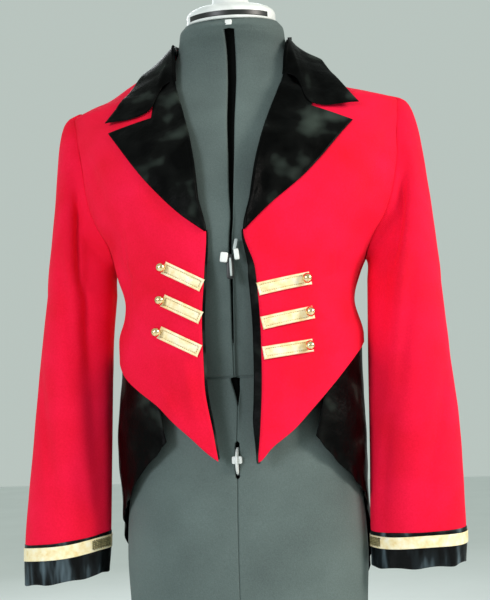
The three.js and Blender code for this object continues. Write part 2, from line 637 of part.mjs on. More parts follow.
/** The sleeve on one side as a function of the way round and the height or head share. */
function sleeveShape(name) {
  const side = SIDES[name];
  const rows = SLEEVES[name];
  const tube = {
    inner: curve(rows, 'z', 'inner'),
    outer: curve(rows, 'z', 'outer'),
    middle: curve(rows, 'z', 'middle'),
    depth: curve(rows, 'z', 'depth'),
  };
  const foldRound = curve(SLEEVE_FOLD, 'z', 'round');
  const foldDepth = curve(SLEEVE_FOLD, 'z', 'depth');
  const endZ = rows[rows.length - 1].z;
  const headRise = SLEEVE_HEAD_RISE[name];

  const armholePoint = (round) => {
    const share = round / Math.PI;
    const along = share <= 1 ? share : 2 - share;
    const half = share <= 1 ? 'front' : 'back';
    const point = ringPoint(body, side, radians(armholeTurn[half](along)), armholeZ(along));
    point.x += side * ARMHOLE_SHIFT;
    return point;
  };
  const pressed = (round, z) => {
    const away = (THREE.MathUtils.radToDeg(round) - foldRound(z)) / SLEEVE_FOLD_WIDTH;
    return foldDepth(z) * Math.exp(-away * away);
  };
  const tubePoint = (round, z, lift = 0) => {
    const inner = tube.inner(z);
    const outer = tube.outer(z);
    const out = lift - pressed(round, z);
    const halfWidth = (outer - inner) / 2 + out;
    const drop = SLEEVE_HEM_DROP[name] * ((1 - Math.cos(round)) / 2)
      + SLEEVE_FRONT_DROP[name] * Math.sin(round);
    const lower = drop * THREE.MathUtils.smoothstep(SLEEVE_HEAD_Z - z, 0, SLEEVE_HEAD_Z - endZ);
    return new THREE.Vector3(
      side * ((inner + outer) / 2 - halfWidth * Math.cos(round)),
      tube.middle(z) - (tube.depth(z) + out) * Math.sin(round),
      z - lower,
    );
  };
  const headPoint = (round, share) => {
    const start = armholePoint(round);
    const end = tubePoint(round, SLEEVE_HEAD_Z);
    const high = (1 - Math.cos(round)) / 2;
    const leave = new THREE.Vector3(side * mix(14, 98, high), -8 * Math.sin(round), mix(-20, headRise, high));
    const arrive = new THREE.Vector3(0, 0, 1.15 * (end.z - start.z));
    const s2 = share * share;
    const s3 = s2 * share;
    const point = start.multiplyScalar(2 * s3 - 3 * s2 + 1)
      .addScaledVector(leave, s3 - 2 * s2 + share)
      .addScaledVector(end, 3 * s2 - 2 * s3)
      .addScaledVector(arrive, s3 - s2);
    point.x -= side * SLEEVE_HEAD_FLAT[name] * high * high * (s3 * (1 - share) ** 2) / FLAT_PEAK;
    return point;
  };
  return { tubePoint, headPoint, endZ };
}

const ROUND_STEPS = 2 * ARMHOLE_ROWS;
const roundAt = (j) => (2 * Math.PI * j) / ROUND_STEPS;
const ringOf = (at) => Array.from({ length: ROUND_STEPS }, (_, j) => at(roundAt(j)));

/** A tube of cloth through rings, each given as a function of the way round. */
function tubeWall(ringFunctions, thickness) {
  const outer = ringFunctions.map(ringOf);
  return wall(outer, offsetGrid(outer, thickness * tubeSign(outer), true), true);
}

/** Whether the grid's normals point out of the tube (1) or into it (-1). */
function tubeSign(outer) {
  const ring = outer[outer.length - 1];
  const centre = ring.reduce((sum, point) => sum.add(point), new THREE.Vector3()).divideScalar(ring.length);
  const last = offsetGrid(outer, 1, true)[outer.length - 1][0];
  return last.distanceTo(centre) < ring[0].distanceTo(centre) ? 1 : -1;
}

function sleeve(name, shape) {
  const headRows = 6;
  const tubeRows = 7;
  const cuffTop = shape.endZ + CUFF_HEIGHT[name] + SEAM_GAP;
  const head = Array.from({ length: headRows }, (_, i) => (round) => shape.headPoint(round, i / headRows));
  const tube = Array.from({ length: tubeRows + 1 }, (_, i) => (round) =>
    shape.tubePoint(round, mix(SLEEVE_HEAD_Z, cuffTop, i / tubeRows)));
  return piece(`sleeve_${name}`, tubeWall([...head, ...tube], CLOTH), redCotton());
}

/** A plain band round the sleeve between two heights. */
function sleeveBand(node, shape, low, high, lift, thickness, material, rows) {
  const rings = Array.from({ length: rows + 1 }, (_, i) => (round) =>
    shape.tubePoint(round, mix(high, low, i / rows), lift));
  return piece(node, tubeWall(rings, thickness), material);
}

function cuff(name, shape) {
  const top = shape.endZ + CUFF_HEIGHT[name];
  const ribbonTop = top - RIBBON_DROP[name];
  const cuffLift = 0.6;
  const ribbonLift = cuffLift + 2 * SEAM_GAP + SATIN;
  return [
    sleeveBand(`cuff_${name}`, shape, shape.endZ, top, cuffLift, CLOTH, blackSatin(), 2),
    sleeveBand(`cuff_ribbon_${name}`, shape, ribbonTop - RIBBON_HEIGHT[name], ribbonTop, ribbonLift,
      SATIN, goldRibbon(), 1),
  ];
}

// ---- Tails ----

function tail(name) {
  const side = SIDES[name];
  const hem = curve(TAIL_HEM, 'along', name);
  const lowest = TAIL_HEM[TAIL_HEM.length - 1][name];
  const topZ = (turn) => hemHeight[name](THREE.MathUtils.radToDeg(turn)) + TAIL_TUCK;
  const outerAt = (up, across) => {
    const vent = radians(mix(TAIL_VENT.bottom, TAIL_VENT.top, up));
    const front = radians(mix(TAIL_FRONT[name].bottom, TAIL_FRONT[name].top, up));
    const turn = mix(front, Math.PI - vent, across);
    const top = topZ(turn);
    const z = mix(hem(across), top, up);
    const loose = THREE.MathUtils.smoothstep(top - z, 20, top - lowest);
    const wave = TAIL_FOLD.depth * loose * (1 - Math.cos(2 * Math.PI * TAIL_FOLD.count * across));
    const tucked = ringPoint(body, side, turn, z);
    const under = lifted(body, tucked, -(CLOTH + 4 * SEAM_GAP) - frontFold(tucked.x, z));
    const hanging = lifted(tailRings, ringPoint(tailRings, side, turn, z), wave);
    const belowHem = THREE.MathUtils.smoothstep(top - z, TAIL_TUCK + 4, TAIL_TUCK + 50);
    return under.lerp(hanging, belowHem);
  };
  return piece(`tail_${name}`, ringWall({ rows: 12, columns: 10 }, outerAt, tailRings, CLOTH), blackSatin());
}

// ---- Dress form and stand ----

/** A closed body through the form's rings. */
function formBody() {
  const around = 30;
  const steps = { trunk: 14, shoulders: 12 }; // rings are closer over the shoulders and neck
  const shoulderStart = 1060;
  const heights = [
    ...Array.from({ length: steps.trunk }, (_, i) => mix(FORM_BOTTOM_Z, shoulderStart, i / steps.trunk)),
    ...Array.from({ length: steps.shoulders + 1 }, (_, i) =>
      mix(shoulderStart, FORM_TOP_Z, i / steps.shoulders)),
  ];
  const ring = (z) => Array.from({ length: around }, (_, j) => {
    const angle = (2 * Math.PI * j) / around;
    const side = angle <= Math.PI ? 1 : -1;
    const point = ringPoint(formRings, side, angle <= Math.PI ? angle : 2 * Math.PI - angle, z);
    const lean = THREE.MathUtils.smoothstep(z, NECK_LEAN_Z, FORM_TOP_Z);
    point.z += point.y * Math.tan(radians(NECK_LEAN)) * lean;
    return point;
  });
  const rows = heights.map(ring);
  const points = [...rows.flat(), new THREE.Vector3(0, 0, heights[0]), new THREE.Vector3(0, 0, FORM_TOP_Z)];
  const bottom = points.length - 2;
  const top = points.length - 1;
  const faces = [];
  const index = (i, j) => i * around + (j % around);
  for (let j = 0; j < around; j += 1) {
    for (let i = 0; i < rows.length - 1; i += 1) {
      faces.push(index(i, j), index(i, j + 1), index(i + 1, j + 1));
      faces.push(index(i, j), index(i + 1, j + 1), index(i + 1, j));
    }
    faces.push(bottom, index(0, j + 1), index(0, j));
    faces.push(top, index(rows.length - 1, j), index(rows.length - 1, j + 1));
  }
  return piece('form_body', solid(points, faces), greyForm());
}

function turnedPart(name, profile, segments, z, material) {
  const points = profile.map((row) => new THREE.Vector2(row.radius, row.z));
  const mesh = piece(name, new THREE.LatheGeometry(points, segments), material);
  mesh.rotation.x = QUARTER;
  mesh.position.z = z;
  return mesh;
}

function neckCap() {
  const mesh = turnedPart('form_neck_cap', CAP_PROFILE, 40, FORM_TOP_Z + 2 * SEAM_GAP, whitePlastic());
  mesh.rotation.x += radians(NECK_LEAN);
  return mesh;
}

function pole() {
  const profile = [
    { radius: 0, z: BASE.height + SEAM_GAP },
    { radius: POLE_RADIUS, z: BASE.height + SEAM_GAP },
    { radius: POLE_RADIUS, z: FORM_BOTTOM_Z - SEAM_GAP },
    { radius: 0, z: FORM_BOTTOM_Z - SEAM_GAP },
  ];
  return turnedPart('stand_pole', profile, 28, 0, paintedSteel());
}

function base() {
  const profile = [
    { radius: 0, z: 0 },
    { radius: BASE.radius - 2, z: 0 },
    { radius: BASE.radius, z: 3 },
    { radius: BASE.radius, z: BASE.edge - 3 },
    { radius: BASE.radius - 4, z: BASE.edge },
    { radius: 40, z: BASE.height },
    { radius: 0, z: BASE.height },
  ];
  return turnedPart('stand_base', profile, 48, 0, paintedSteel());
}

/** Sets an adjuster on the form's front, turned to lie along its slope. */
function setOnFront(mesh, { x, z, height }) {
  const low = -formRings.front(z - height / 2);
  const high = -formRings.front(z + height / 2);
  const lean = new THREE.Group();
  lean.position.set(x, (low + high) / 2 - 2 * SEAM_GAP, z);
  lean.rotation.x = Math.atan2(low - high, height);
  lean.add(mesh);
  return lean;
}

/** The plate of the upper adjuster, with rounded corners, set in front of the form. */
function upperAdjuster() {
  const { width, height, depth, corner } = UPPER_ADJUSTER;
  const outline = new THREE.Shape();
  outline.moveTo(-width / 2 + corner, -height / 2);
  outline.absarc(width / 2 - corner, -height / 2 + corner, corner, -QUARTER, 0);
  outline.absarc(width / 2 - corner, height / 2 - corner, corner, 0, QUARTER);
  outline.absarc(-width / 2 + corner, height / 2 - corner, corner, QUARTER, 2 * QUARTER);
  outline.absarc(-width / 2 + corner, -height / 2 + corner, corner, 2 * QUARTER, 3 * QUARTER);
  const settings = { depth, bevelEnabled: false, curveSegments: 4 };
  const mesh = piece('form_adjuster_upper', new THREE.ExtrudeGeometry(outline, settings), whitePlastic());
  mesh.rotation.x = QUARTER;
  return setOnFront(mesh, UPPER_ADJUSTER);
}

/** The rim of the lower adjusting wheel that stands out of the form's slot. */
function lowerAdjuster() {
  const { width, height, depth } = LOWER_ADJUSTER;
  const radius = (height * height) / (8 * depth) + depth / 2;
  const half = Math.asin(height / 2 / radius);
  const outline = new THREE.Shape();
  outline.absarc(depth - radius, 0, radius, -half, half);
  const settings = { depth: width, bevelEnabled: false, curveSegments: 10 };
  const geometry = new THREE.ExtrudeGeometry(outline, settings).translate(0, 0, -width / 2);
  const mesh = piece('form_adjuster_lower', geometry, whitePlastic());
  mesh.rotation.set(QUARTER, 0, -QUARTER, 'ZXY');
  return setOnFront(mesh, LOWER_ADJUSTER);
}

// ---- Assembly ----

function jacket() {
  const group = new THREE.Group();
  for (const name of Object.keys(SIDES)) {
    const shape = sleeveShape(name);
    group.add(frontPanel(name), backPanel(name), edgeTrim(name), lapel(name), tail(name));
    group.add(sleeve(name, shape), ...cuff(name, shape));
    TABS[name].forEach((row, k) => group.add(tab(name, row, k + 1), button(name, row, k + 1)));
  }
  group.add(collar());
  return group;
}

function dressForm() {
  const group = new THREE.Group();
  group.add(base(), pole(), formBody(), neckCap(), upperAdjuster(), lowerAdjuster());
  return group;
}

const part = new THREE.Group();
part.add(dressForm(), jacket());

export default part;
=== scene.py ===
"""Ringmaster jacket worn on a limbless dress form: cloth, trim, form and stage."""

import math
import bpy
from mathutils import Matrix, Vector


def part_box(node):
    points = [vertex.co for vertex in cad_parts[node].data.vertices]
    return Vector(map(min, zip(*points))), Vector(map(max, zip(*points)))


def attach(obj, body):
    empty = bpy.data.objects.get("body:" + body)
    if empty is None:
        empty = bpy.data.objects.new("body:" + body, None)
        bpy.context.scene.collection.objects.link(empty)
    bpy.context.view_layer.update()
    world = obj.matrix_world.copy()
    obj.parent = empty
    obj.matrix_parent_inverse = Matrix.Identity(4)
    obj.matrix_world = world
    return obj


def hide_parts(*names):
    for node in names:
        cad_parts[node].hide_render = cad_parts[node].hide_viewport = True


bl_info = {
    "name": "Ringmaster jacket on a dress form",
    "version": (1, 0, 0),
    "blender": (4, 5, 0),
    "location": "View3D > Sidebar > Jacket",
    "description": "Makes the cloth, trim and dress form of a ringmaster jacket around its frame",
    "category": "Add Mesh",
}

import bpy
import numpy as np
from mathutils import Matrix, Vector

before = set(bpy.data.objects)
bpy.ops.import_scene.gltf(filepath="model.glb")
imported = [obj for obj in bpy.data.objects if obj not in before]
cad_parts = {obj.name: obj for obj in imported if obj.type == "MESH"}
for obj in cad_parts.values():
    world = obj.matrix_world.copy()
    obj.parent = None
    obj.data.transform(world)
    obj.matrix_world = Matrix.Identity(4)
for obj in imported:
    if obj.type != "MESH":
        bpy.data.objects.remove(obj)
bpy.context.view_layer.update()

# All sizes below are in millimetres in the frame: +Z up, the front faces -Y, left (+X) is the
# wearer's left. Meshes are turned into metres when they are made.
METRE = 1000.0
SIDES = {"left": 1.0, "right": -1.0}
QUARTER = math.pi / 2

# ---------------------------------------------------------------- sizes of the cut

BREAK_Z = 941.0  # where the lapel roll starts
ROLL_TOP_Z = 1156.0  # where the lapel roll meets the collar
NECK_Z = 1212.0  # top of the shoulder seam
UNDERARM_Z = 917.0
ARMHOLE_TOP_Z = 1131.0
BACK_NECK_Z = 1196.0
SLEEVE_HEAD_Z = 885.0  # below this the sleeve is a plain tube
FRONT_SIDE_SHARE = 0.55  # share of a front's far edge that is side seam, the rest is armhole
BACK_SIDE_SHARE = 0.4375
BACK_NECK_SHARE = 0.35
ARMHOLE_SHIFT = -0.2
TRIM_LIFT = 1.1  # clearance of a trim over the panel under it
RIM = 0.5  # how far the middle of a turned edge stands out, as a share of the cloth's thickness
CUFF_HEIGHT = {"right": 48.0, "left": 41.0}
RIBBON_HEIGHT = {"right": 15.5, "left": 13.5}
RIBBON_DROP = {"right": 3.5, "left": 4.5}  # black satin that shows above the cuff ribbon
RIBBON_LIFT = 1.0  # clearance of the ribbon over the sleeve
RIBBON_CLOTH = 0.6
TAB_WIDTH = 15.0
TAB_CLOTH = 1.1
TAIL_CLOTH = 1.4
TAIL_TUCK = 10.0
FORM_TOP_Z = 1240.0
FORM_BOTTOM_Z = 436.0
NECK_LEAN = math.radians(12)
NECK_LEAN_Z = 1210.0
WAIST = {"z": 770, "depth": 2.0, "width": 1.4}  # the gap between the form's upper and lower shells
RIGHT_SET_BACK = 6.0  # how far the form's front on the viewer's right lies behind the other


def table(names, *lines):
    """A table with named columns: each line is one section."""
    columns = np.array(lines, dtype=float).T
    return dict(zip(names.split(), columns))


BODY_RINGS = table(
    "z right left front back square",
    (640, 150, 150, 118, 108, 2.2),
    (765, 157, 157, 114, 106, 2.2),
    (820, 158, 158, 118, 103, 2.2),
    (866, 148, 148, 122, 98, 2.2),
    (900, 158, 157, 124, 102, 2.2),
    (941, 169, 178, 126, 106, 2.2),
    (972, 186, 198, 123, 112, 2.3),
    (1000, 197, 209, 117, 117, 2.3),
    (1050, 207, 218, 99, 121, 2.3),
    (1090, 215, 219, 79, 115, 2.1),
    (1122, 217, 215, 61, 98, 1.9),
    (1134, 198, 182, 57, 92, 1.8),
    (1143, 174, 152, 53, 86, 1.7),
    (1160, 147, 127, 50, 76, 1.6),
    (1185, 107, 98, 50, 67, 1.7),
    (1212, 76, 75, 52, 62, 1.9),
)
FRONT_EDGE = table(
    "z right left",
    (671, 17, 31),
    (701, 22, 34),
    (765, 32, 38),
    (824, 32.5, 39),
    (894, 27, 35.5),
    (941, 23, 23),
    (985, 33, 33),
    (1027, 39, 39),
    (1070, 48, 48),
    (1100, 57, 56),
    (1156, 72, 71),
    (1185, 74, 73),
    (1212, 76, 75),
)
HEM = table(
    "turn right left",
    (5, 671, 665),
    (10, 682, 669),
    (16, 697, 686),
    (26, 719, 706),
    (35, 739, 728),
    (48, 757, 757),
    (62, 774, 783),
    (74, 790, 799),
    (90, 803, 811),
    (130, 804, 806),
    (180, 800, 800),
)
ARMHOLE = table(
    "along z front back",
    (0, 917, 90, 90),
    (0.15, 924, 83, 98),
    (0.3, 948, 77, 104),
    (0.5, 1003, 73, 109),
    (0.7, 1062, 73, 109),
    (0.86, 1106, 77, 105),
    (1, 1131, 90, 90),
)
LAPEL_EDGE = table(
    "along x right left",
    (0, 24, 943, 943),
    (0.25, 54, 966, 972),
    (0.6, 96, 1009, 1009),
    (1, 155, 1086, 1083),
)
# The collar from the centre back (0) to its front end (1), as points of its sections.
COLLAR = table(
    "along neck roll_x roll_y roll_z fall_x fall_y fall_z edge_x edge_y edge_z",
    (0, 0, 0, 68, 1224, 0, 81, 1207, 0, 91, 1170),
    (0.22, 0.45, 44, 57, 1225, 55, 66, 1208, 66, 74, 1173),
    (0.42, 0.85, 72, 24, 1222, 84, 29, 1205, 101, 33, 1183),
    (0.6, 1.2, 75, -6, 1215, 90, -6, 1199, 114, -6, 1181),
    (0.8, 1.6, 80, -30, 1190, 97, -35, 1166, 134, -30, 1150),
    (1, 2, 86, -45, 1149, 105, -60, 1109, 164, -60, 1098),
)
COLLAR_TIP = {"left": (0.0, 9.0), "right": (-4.0, 3.0)}  # how far its front corner moves out and up
COLLAR_FLAT = (460, 110)
# The three lines that carry the collar over the neck seam, from the inside out: how far they stand
# out of the body, and how far beyond the edge of the red cloth.
COLLAR_STAND = ((-3.4, -7.0), (-0.6, 2.6), (TRIM_LIFT + 1.2, 1.0))
SLEEVES = {
    "right": table(
        "z inner outer middle depth",
        (885, 165, 254, -1, 58),
        (816, 170, 262, -4, 54),
        (685, 172, 276, -10, 44),
        (562, 174, 286, -16, 34),
        (533, 177, 284, -18, 31),
    ),
    "left": table(
        "z inner outer middle depth",
        (885, 165, 258, -2, 57),
        (796, 162, 264, -6, 52),
        (674, 159, 272, -14, 42),
        (569, 156, 272, -20, 34),
        (536, 156, 269, -22, 31),
    ),
}
SLEEVE_HEAD_RISE = {"right": 60.0, "left": 32.0}
SLEEVE_HEAD_LEAVE = {"out": (14, 98), "back": 8, "up": -20}  # its direction at the armhole, low and high
SLEEVE_HEAD_ARRIVE = 1.15  # how straight it runs into the tube
SLEEVE_HEAD_FLAT = {"right": 7.0, "left": 4.0}  # how much flatter the sleeve falls below the shoulder
FLAT_PEAK = 0.6 ** 3 * 0.4 ** 2  # the most of share^3 (1 - share)^2
SLEEVE_HEM_DROP = {"right": 15.0, "left": -4.0}
SLEEVE_FRONT_DROP = {"right": 3.0, "left": 1.5}  # how much lower the front of the sleeve ends
# Folds of the sleeves. Each is a width in degrees, and then the rows of the path that its trough
# takes; 0 degrees round is the inner side, 90 the front and 180 the outer side.
FOLD_PATH = "z round depth"
SLEEVE_FOLDS = {
    "right": (
        (24, (1090, 100, 1), (1010, 82, 9), (930, 66, 13), (850, 52, 12), (750, 42, 9), (650, 34, 5),
         (560, 30, 2)),
        (7, (1094, 116, 0), (1060, 103, 6), (1000, 92, 8), (930, 80, 6), (880, 70, 0)),
        (11, (950, 124, 0), (900, 106, 3.4), (835, 88, 3), (770, 76, 0)),
        (10, (810, 150, 0), (745, 130, 2.6), (675, 110, 2.4), (610, 96, 0)),
        (12, (700, 80, 0), (650, 66, 2.2), (600, 58, 1.8), (556, 54, 0)),
        (9, (905, 70, 0), (870, 56, 3), (820, 50, 2), (780, 48, 0)),
        (16, (1000, 250, 0), (930, 275, 6), (850, 295, 6), (760, 305, 0)),
        (12, (860, 215, 0), (800, 238, 4), (730, 262, 3.4), (660, 280, 0)),
        (10, (1060, 225, 0), (1010, 240, 4), (960, 262, 3), (920, 270, 0)),
        (11, (700, 200, 0), (650, 226, 2.4), (600, 246, 2), (556, 255, 0)),
    ),
    "left": (
        (22, (1085, 104, 1), (1020, 84, 7), (950, 66, 11), (870, 48, 9), (780, 40, 6), (650, 34, 3),
         (570, 30, 1)),
        (7, (1092, 118, 0), (1060, 106, 5), (1005, 92, 7), (940, 78, 5), (885, 66, 0)),
        (11, (930, 112, 0), (860, 94, 2.8), (795, 80, 3), (725, 68, 0)),
        (10, (790, 148, 0), (725, 128, 2.4), (660, 108, 2), (596, 94, 0)),
        (11, (745, 62, 0), (680, 48, 3), (620, 42, 2.6), (570, 38, 0.6)),
        (16, (1010, 246, 0), (940, 268, 6), (870, 290, 5), (780, 300, 0)),
        (12, (840, 210, 0), (780, 232, 4), (700, 256, 3), (640, 270, 0)),
        (10, (1050, 222, 0), (1000, 240, 4), (955, 258, 3), (915, 268, 0)),
        (11, (680, 196, 0), (635, 220, 2.2), (595, 240, 2), (560, 250, 0)),
    ),
}
# Soft folds of the fronts as seen from the front: a trough (or a ridge, when its depth is
# negative) from one end to the other, deepest in the middle.
FOLD_COLUMNS = "x z to_x to_z depth width"
FRONT_FOLDS = {
    "right": table(
        FOLD_COLUMNS,
        (158, 965, 134, 880, 3.5, 13),
        (128, 830, 70, 738, 3.4, 16),
        (150, 850, 108, 790, 2.6, 12),
        (100, 1010, 60, 955, 1.4, 12),
        (182, 1046, 158, 992, 3, 9),
        (196, 1080, 178, 1020, 2.4, 10),
        (133, 955, 131, 872, 1.3, 2.4),
        (146, 905, 100, 872, 2.0, 10),
        (60, 800, 40, 715, -1.8, 9),
        (96, 770, 60, 715, -1.8, 8),
        (120, 1060, 96, 1020, 1.2, 14),
        (150, 930, 118, 905, -1.4, 8),
    ),
    "left": table(
        FOLD_COLUMNS,
        (166, 965, 140, 880, 3.4, 13),
        (128, 830, 70, 738, 3.4, 16),
        (150, 850, 108, 790, 2.6, 12),
        (112, 1010, 74, 960, 1.3, 12),
        (192, 1045, 166, 985, 3, 9),
        (204, 1085, 190, 1020, 2.4, 10),
        (132, 955, 130, 876, 1.2, 2.4),
        (150, 900, 104, 880, 2.0, 10),
        (70, 790, 52, 712, -1.6, 10),
        (56, 862, 100, 858, 1.5, 7),
        (58, 822, 104, 816, 1.5, 7),
        (130, 1070, 104, 1030, 1.2, 14),
        (156, 935, 120, 912, -1.4, 8),
    ),
}
# Folds of the back, as seen from behind.
BACK_FOLDS = table(
    FOLD_COLUMNS,
    (168, 1000, 128, 930, 3.2, 12),
    (176, 1060, 150, 985, 2.4, 10),
    (120, 950, 60, 905, 1.8, 12),
    (138, 905, 70, 868, 2.2, 13),
    (110, 850, 40, 836, 1.6, 10),
    (60, 1168, 30, 1090, 1.4, 14),
    (96, 1130, 128, 1060, 1.3, 15),
    (40, 900, 24, 815, -1.4, 12),
    (92, 880, 84, 812, -1.6, 12),
)
TABS = {
    "right": table("x z to_x to_z", (76, 903, 29, 878), (79, 864, 32, 840), (85, 826, 35, 801)),
    "left": table("x z to_x to_z", (97, 884, 37, 871), (99, 843, 40, 831), (98, 804, 40, 796)),
}
TAIL_RINGS = table(
    "z right left front back square",
    (280, 157, 154, 100, 130, 2.2),
    (400, 157, 154, 100, 129, 2.2),
    (520, 156, 154, 100, 128, 2.2),
    (596, 156, 155, 101, 127, 2.2),
    (640, 159, 155, 103, 122, 2.2),
    (694, 162, 156, 108, 114, 2.2),
    (750, 158, 155, 110, 104, 2.2),
    (830, 154, 154, 114, 98, 2.2),
)
TAIL_HEM = table(
    "along right left",
    (0, 694, 697),
    (0.04, 678, 682),
    (0.1, 662, 664),
    (0.2, 628, 640),
    (0.32, 600, 615),
    (0.45, 560, 568),
    (0.62, 480, 484),
    (0.82, 380, 382),
    (1, 305, 305),
)
TAIL_FRONT = {"right": (36, 29), "left": (45, 37)}  # degrees at the top and at the bottom
TAIL_FOLD = {"count": 2.6, "depth": 7.0}
TAIL_VENT = (1.2, 9.0)  # half the gap at the centre back, in degrees, at the top and the bottom
FORM_RINGS = table(
    "z right left front back square",
    (436, 147, 147, 98, 106, 2.2),
    (490, 149, 149, 99, 109, 2.2),
    (550, 152, 152, 100, 112, 2.2),
    (650, 146, 146, 94, 104, 2.2),
    (770, 116, 116, 82, 84, 2.1),
    (865, 125, 125, 98, 86, 2.1),
    (941, 140, 140, 117, 93, 2.1),
    (985, 150, 150, 109, 100, 2.1),
    (1040, 164, 164, 89, 104, 2.1),
    (1090, 171, 171, 71, 98, 2),
    (1115, 168, 168, 58, 88, 1.8),
    (1138, 147, 147, 47, 80, 1.7),
    (1157, 122, 122, 40, 72, 1.6),
    (1182, 92, 92, 38, 62, 1.6),
    (1200, 74, 74, 43, 57, 1.8),
    (1215, 71, 71, 54, 57, 2),
    (1230, 69, 69, 59, 59, 2),
    (1240, 62, 62, 54, 54, 2),
)
# The slot down the form's front by height: its middle, half its width and its depth.
FORM_SLOT = table(
    "z middle half depth",
    (500, 2, 0.4, 1.0),
    (600, 2, 0.5, 1.4),
    (648, 2.5, 0.5, 1.6),
    (651, 2.5, 2.4, 9),
    (690, 2.6, 2.6, 9),
    (694, 2.6, 0.6, 1.6),
    (734, 4.0, 0.6, 1.6),
    (738, 4.0, 0.8, 6),
    (752, 3.2, 3.0, 10),
    (767, 1.2, 5.2, 10),
    (768.5, 1.2, 5.4, 10),
    (770, 0.4, 0.6, 2),
    (806, 0.6, 0.7, 2),
    (812, 0.8, 0.9, 5),
    (860, 2.4, 1.2, 8),
    (886, 3.4, 1.5, 9),
    (930, 5, 1.6, 9),
    (962, 7.4, 1.6, 8),
    (992, 6.6, 2.7, 9),
    (1040, 5.4, 3.8, 10),
    (1110, 3.6, 5.2, 10),
    (1203, 3.0, 6.2, 10),
    (1215, 3.3, 6.6, 10),
    (1216, 3.3, 6.6, 10),
    (1217.5, 3.3, 0.4, 0),
)


# ---------------------------------------------------------------- curves and rings


def curve(rows, by, name):
    """Monotone cubic through a column.

    Each inner slope is the harmonic mean of the rises on its two sides, and 0 where they
    differ in sign, so the curve never overshoots a row.
    """
    order = np.argsort(rows[by])
    at, value = rows[by][order], rows[name][order]
    rise = np.diff(value) / np.diff(at)
    same = rise[:-1] * rise[1:] > 0
    total = np.where(same, rise[:-1] + rise[1:], 1.0)
    inner = np.where(same, 2 * rise[:-1] * rise[1:] / total, 0.0)
    slope = np.concatenate([rise[:1], inner, rise[-1:]])

    def read(where):
        where = np.clip(where, at[0], at[-1])
        k = np.clip(np.searchsorted(at, where, side="right") - 1, 0, len(at) - 2)
        span = at[k + 1] - at[k]
        t = (where - at[k]) / span
        b = 1 - t
        return (value[k] * (1 + 2 * t) * b * b + value[k + 1] * (3 - 2 * t) * t * t
                + span * (slope[k] * t * b * b - slope[k + 1] * t * t * b))

    return read


def mix(a, b, t):
    """The straight line from a at 0 to b at 1."""
    return a + (b - a) * t


def smooth(value, low, high):
    """0 below low, 1 above high, with a smooth step 3t^2 - 2t^3 between."""
    t = np.clip((value - low) / (high - low), 0, 1)
    return t * t * (3 - 2 * t)


def unit(v):
    """The vectors at length 1."""
    return v / np.maximum(np.linalg.norm(v, axis=-1, keepdims=True), 1e-9)


class Rings:
    """Superellipse sections stacked along Z: |x / width|^n + |y / depth|^n = 1."""

    def __init__(self, rows):
        for name in ("right", "left", "front", "back", "square"):
            setattr(self, name, curve(rows, "z", name))

    def width(self, side, z):
        return np.where(np.asarray(side) > 0, self.left(z), self.right(z))

    def point(self, side, turn, z):
        """A ring's point at a turn: x = side w sin^(2/n), y = -front or back |cos|^(2/n)."""
        turn, z = np.broadcast_arrays(np.asarray(turn, float), np.asarray(z, float))
        power = 2 / self.square(z)
        across = np.abs(np.sin(turn)) ** power
        deep = np.abs(np.cos(turn)) ** power
        depth = np.where(turn < QUARTER, -self.front(z), self.back(z))
        return np.stack([side * self.width(side, z) * across, depth * deep, z], -1)

    def reach(self, p):
        """How far out of the rings a point lies: 1 on them, more outside."""
        x, y, z = p[..., 0], p[..., 1], p[..., 2]
        n = self.square(z)
        depth = np.where(y < 0, self.front(z), self.back(z))
        return ((np.abs(x) / self.width(x, z)) ** n + (np.abs(y) / depth) ** n) ** (1 / n)

    def slope(self, p):
        """The gradient of reach, by differences a quarter of a millimetre apart."""
        step = np.eye(3) * 0.25
        return np.stack([(self.reach(p + s) - self.reach(p - s)) / 0.5 for s in step], -1)

    def lift(self, p, distance):
        """The points moved straight out of the rings."""
        return p + unit(self.slope(p)) * np.asarray(distance, float)[..., None]

    def clear(self, p, clearance):
        """The points, pushed straight out where they are nearer than the clearance."""
        slope = self.slope(p)
        distance = (self.reach(p) - 1) / np.linalg.norm(slope, axis=-1)
        return p + unit(slope) * np.maximum(0, clearance - distance)[..., None]

    def turn_at(self, side, x, z):
        """The turn at which a ring passes a distance from the middle."""
        share = np.clip(x / self.width(side, z), 0, 1)
        return np.arcsin(share ** (self.square(z) / 2))


BODY = Rings(BODY_RINGS)
TAIL = Rings(TAIL_RINGS)
FORM = Rings(FORM_RINGS)
FRONT_EDGE_X = {name: curve(FRONT_EDGE, "z", name) for name in SIDES}
HEM_Z = {name: curve(HEM, "turn", name) for name in SIDES}
ARMHOLE_Z = curve(ARMHOLE, "along", "z")
ARMHOLE_TURN = {half: curve(ARMHOLE, "along", half) for half in ("front", "back")}


def fold(rows, x, z):
    """How deep folds press in: depth exp(-(2t-1)^4) exp(-(away / width)^2) for each row."""
    total = 0.0
    for x0, z0, x1, z1, depth, width in zip(*(rows[name] for name in FOLD_COLUMNS.split())):
        run = np.array([x1 - x0, z1 - z0])
        length = np.hypot(*run)
        along = ((np.abs(x) - x0) * run[0] + (z - z0) * run[1]) / length ** 2
        away = ((np.abs(x) - x0) * run[1] - (z - z0) * run[0]) / length
        total = total + depth * np.exp(-((2 * along - 1) ** 4)) * np.exp(-((away / width) ** 2))
    return total


# Height and length of the small uneven waves of each cloth.
WAVES = {
    "front": (0.35, 46),
    "back": (0.4, 50),
    "sleeve": (0.45, 44),
    "lapel": (1.5, 58),
    "lapel_fine": (0.8, 30),
    "collar": (1.1, 52),
    "collar_fine": (0.5, 24),
    "tab": (0.35, 17),
    "tail": (1.6, 60),
    "tail_fine": (0.8, 30),
}


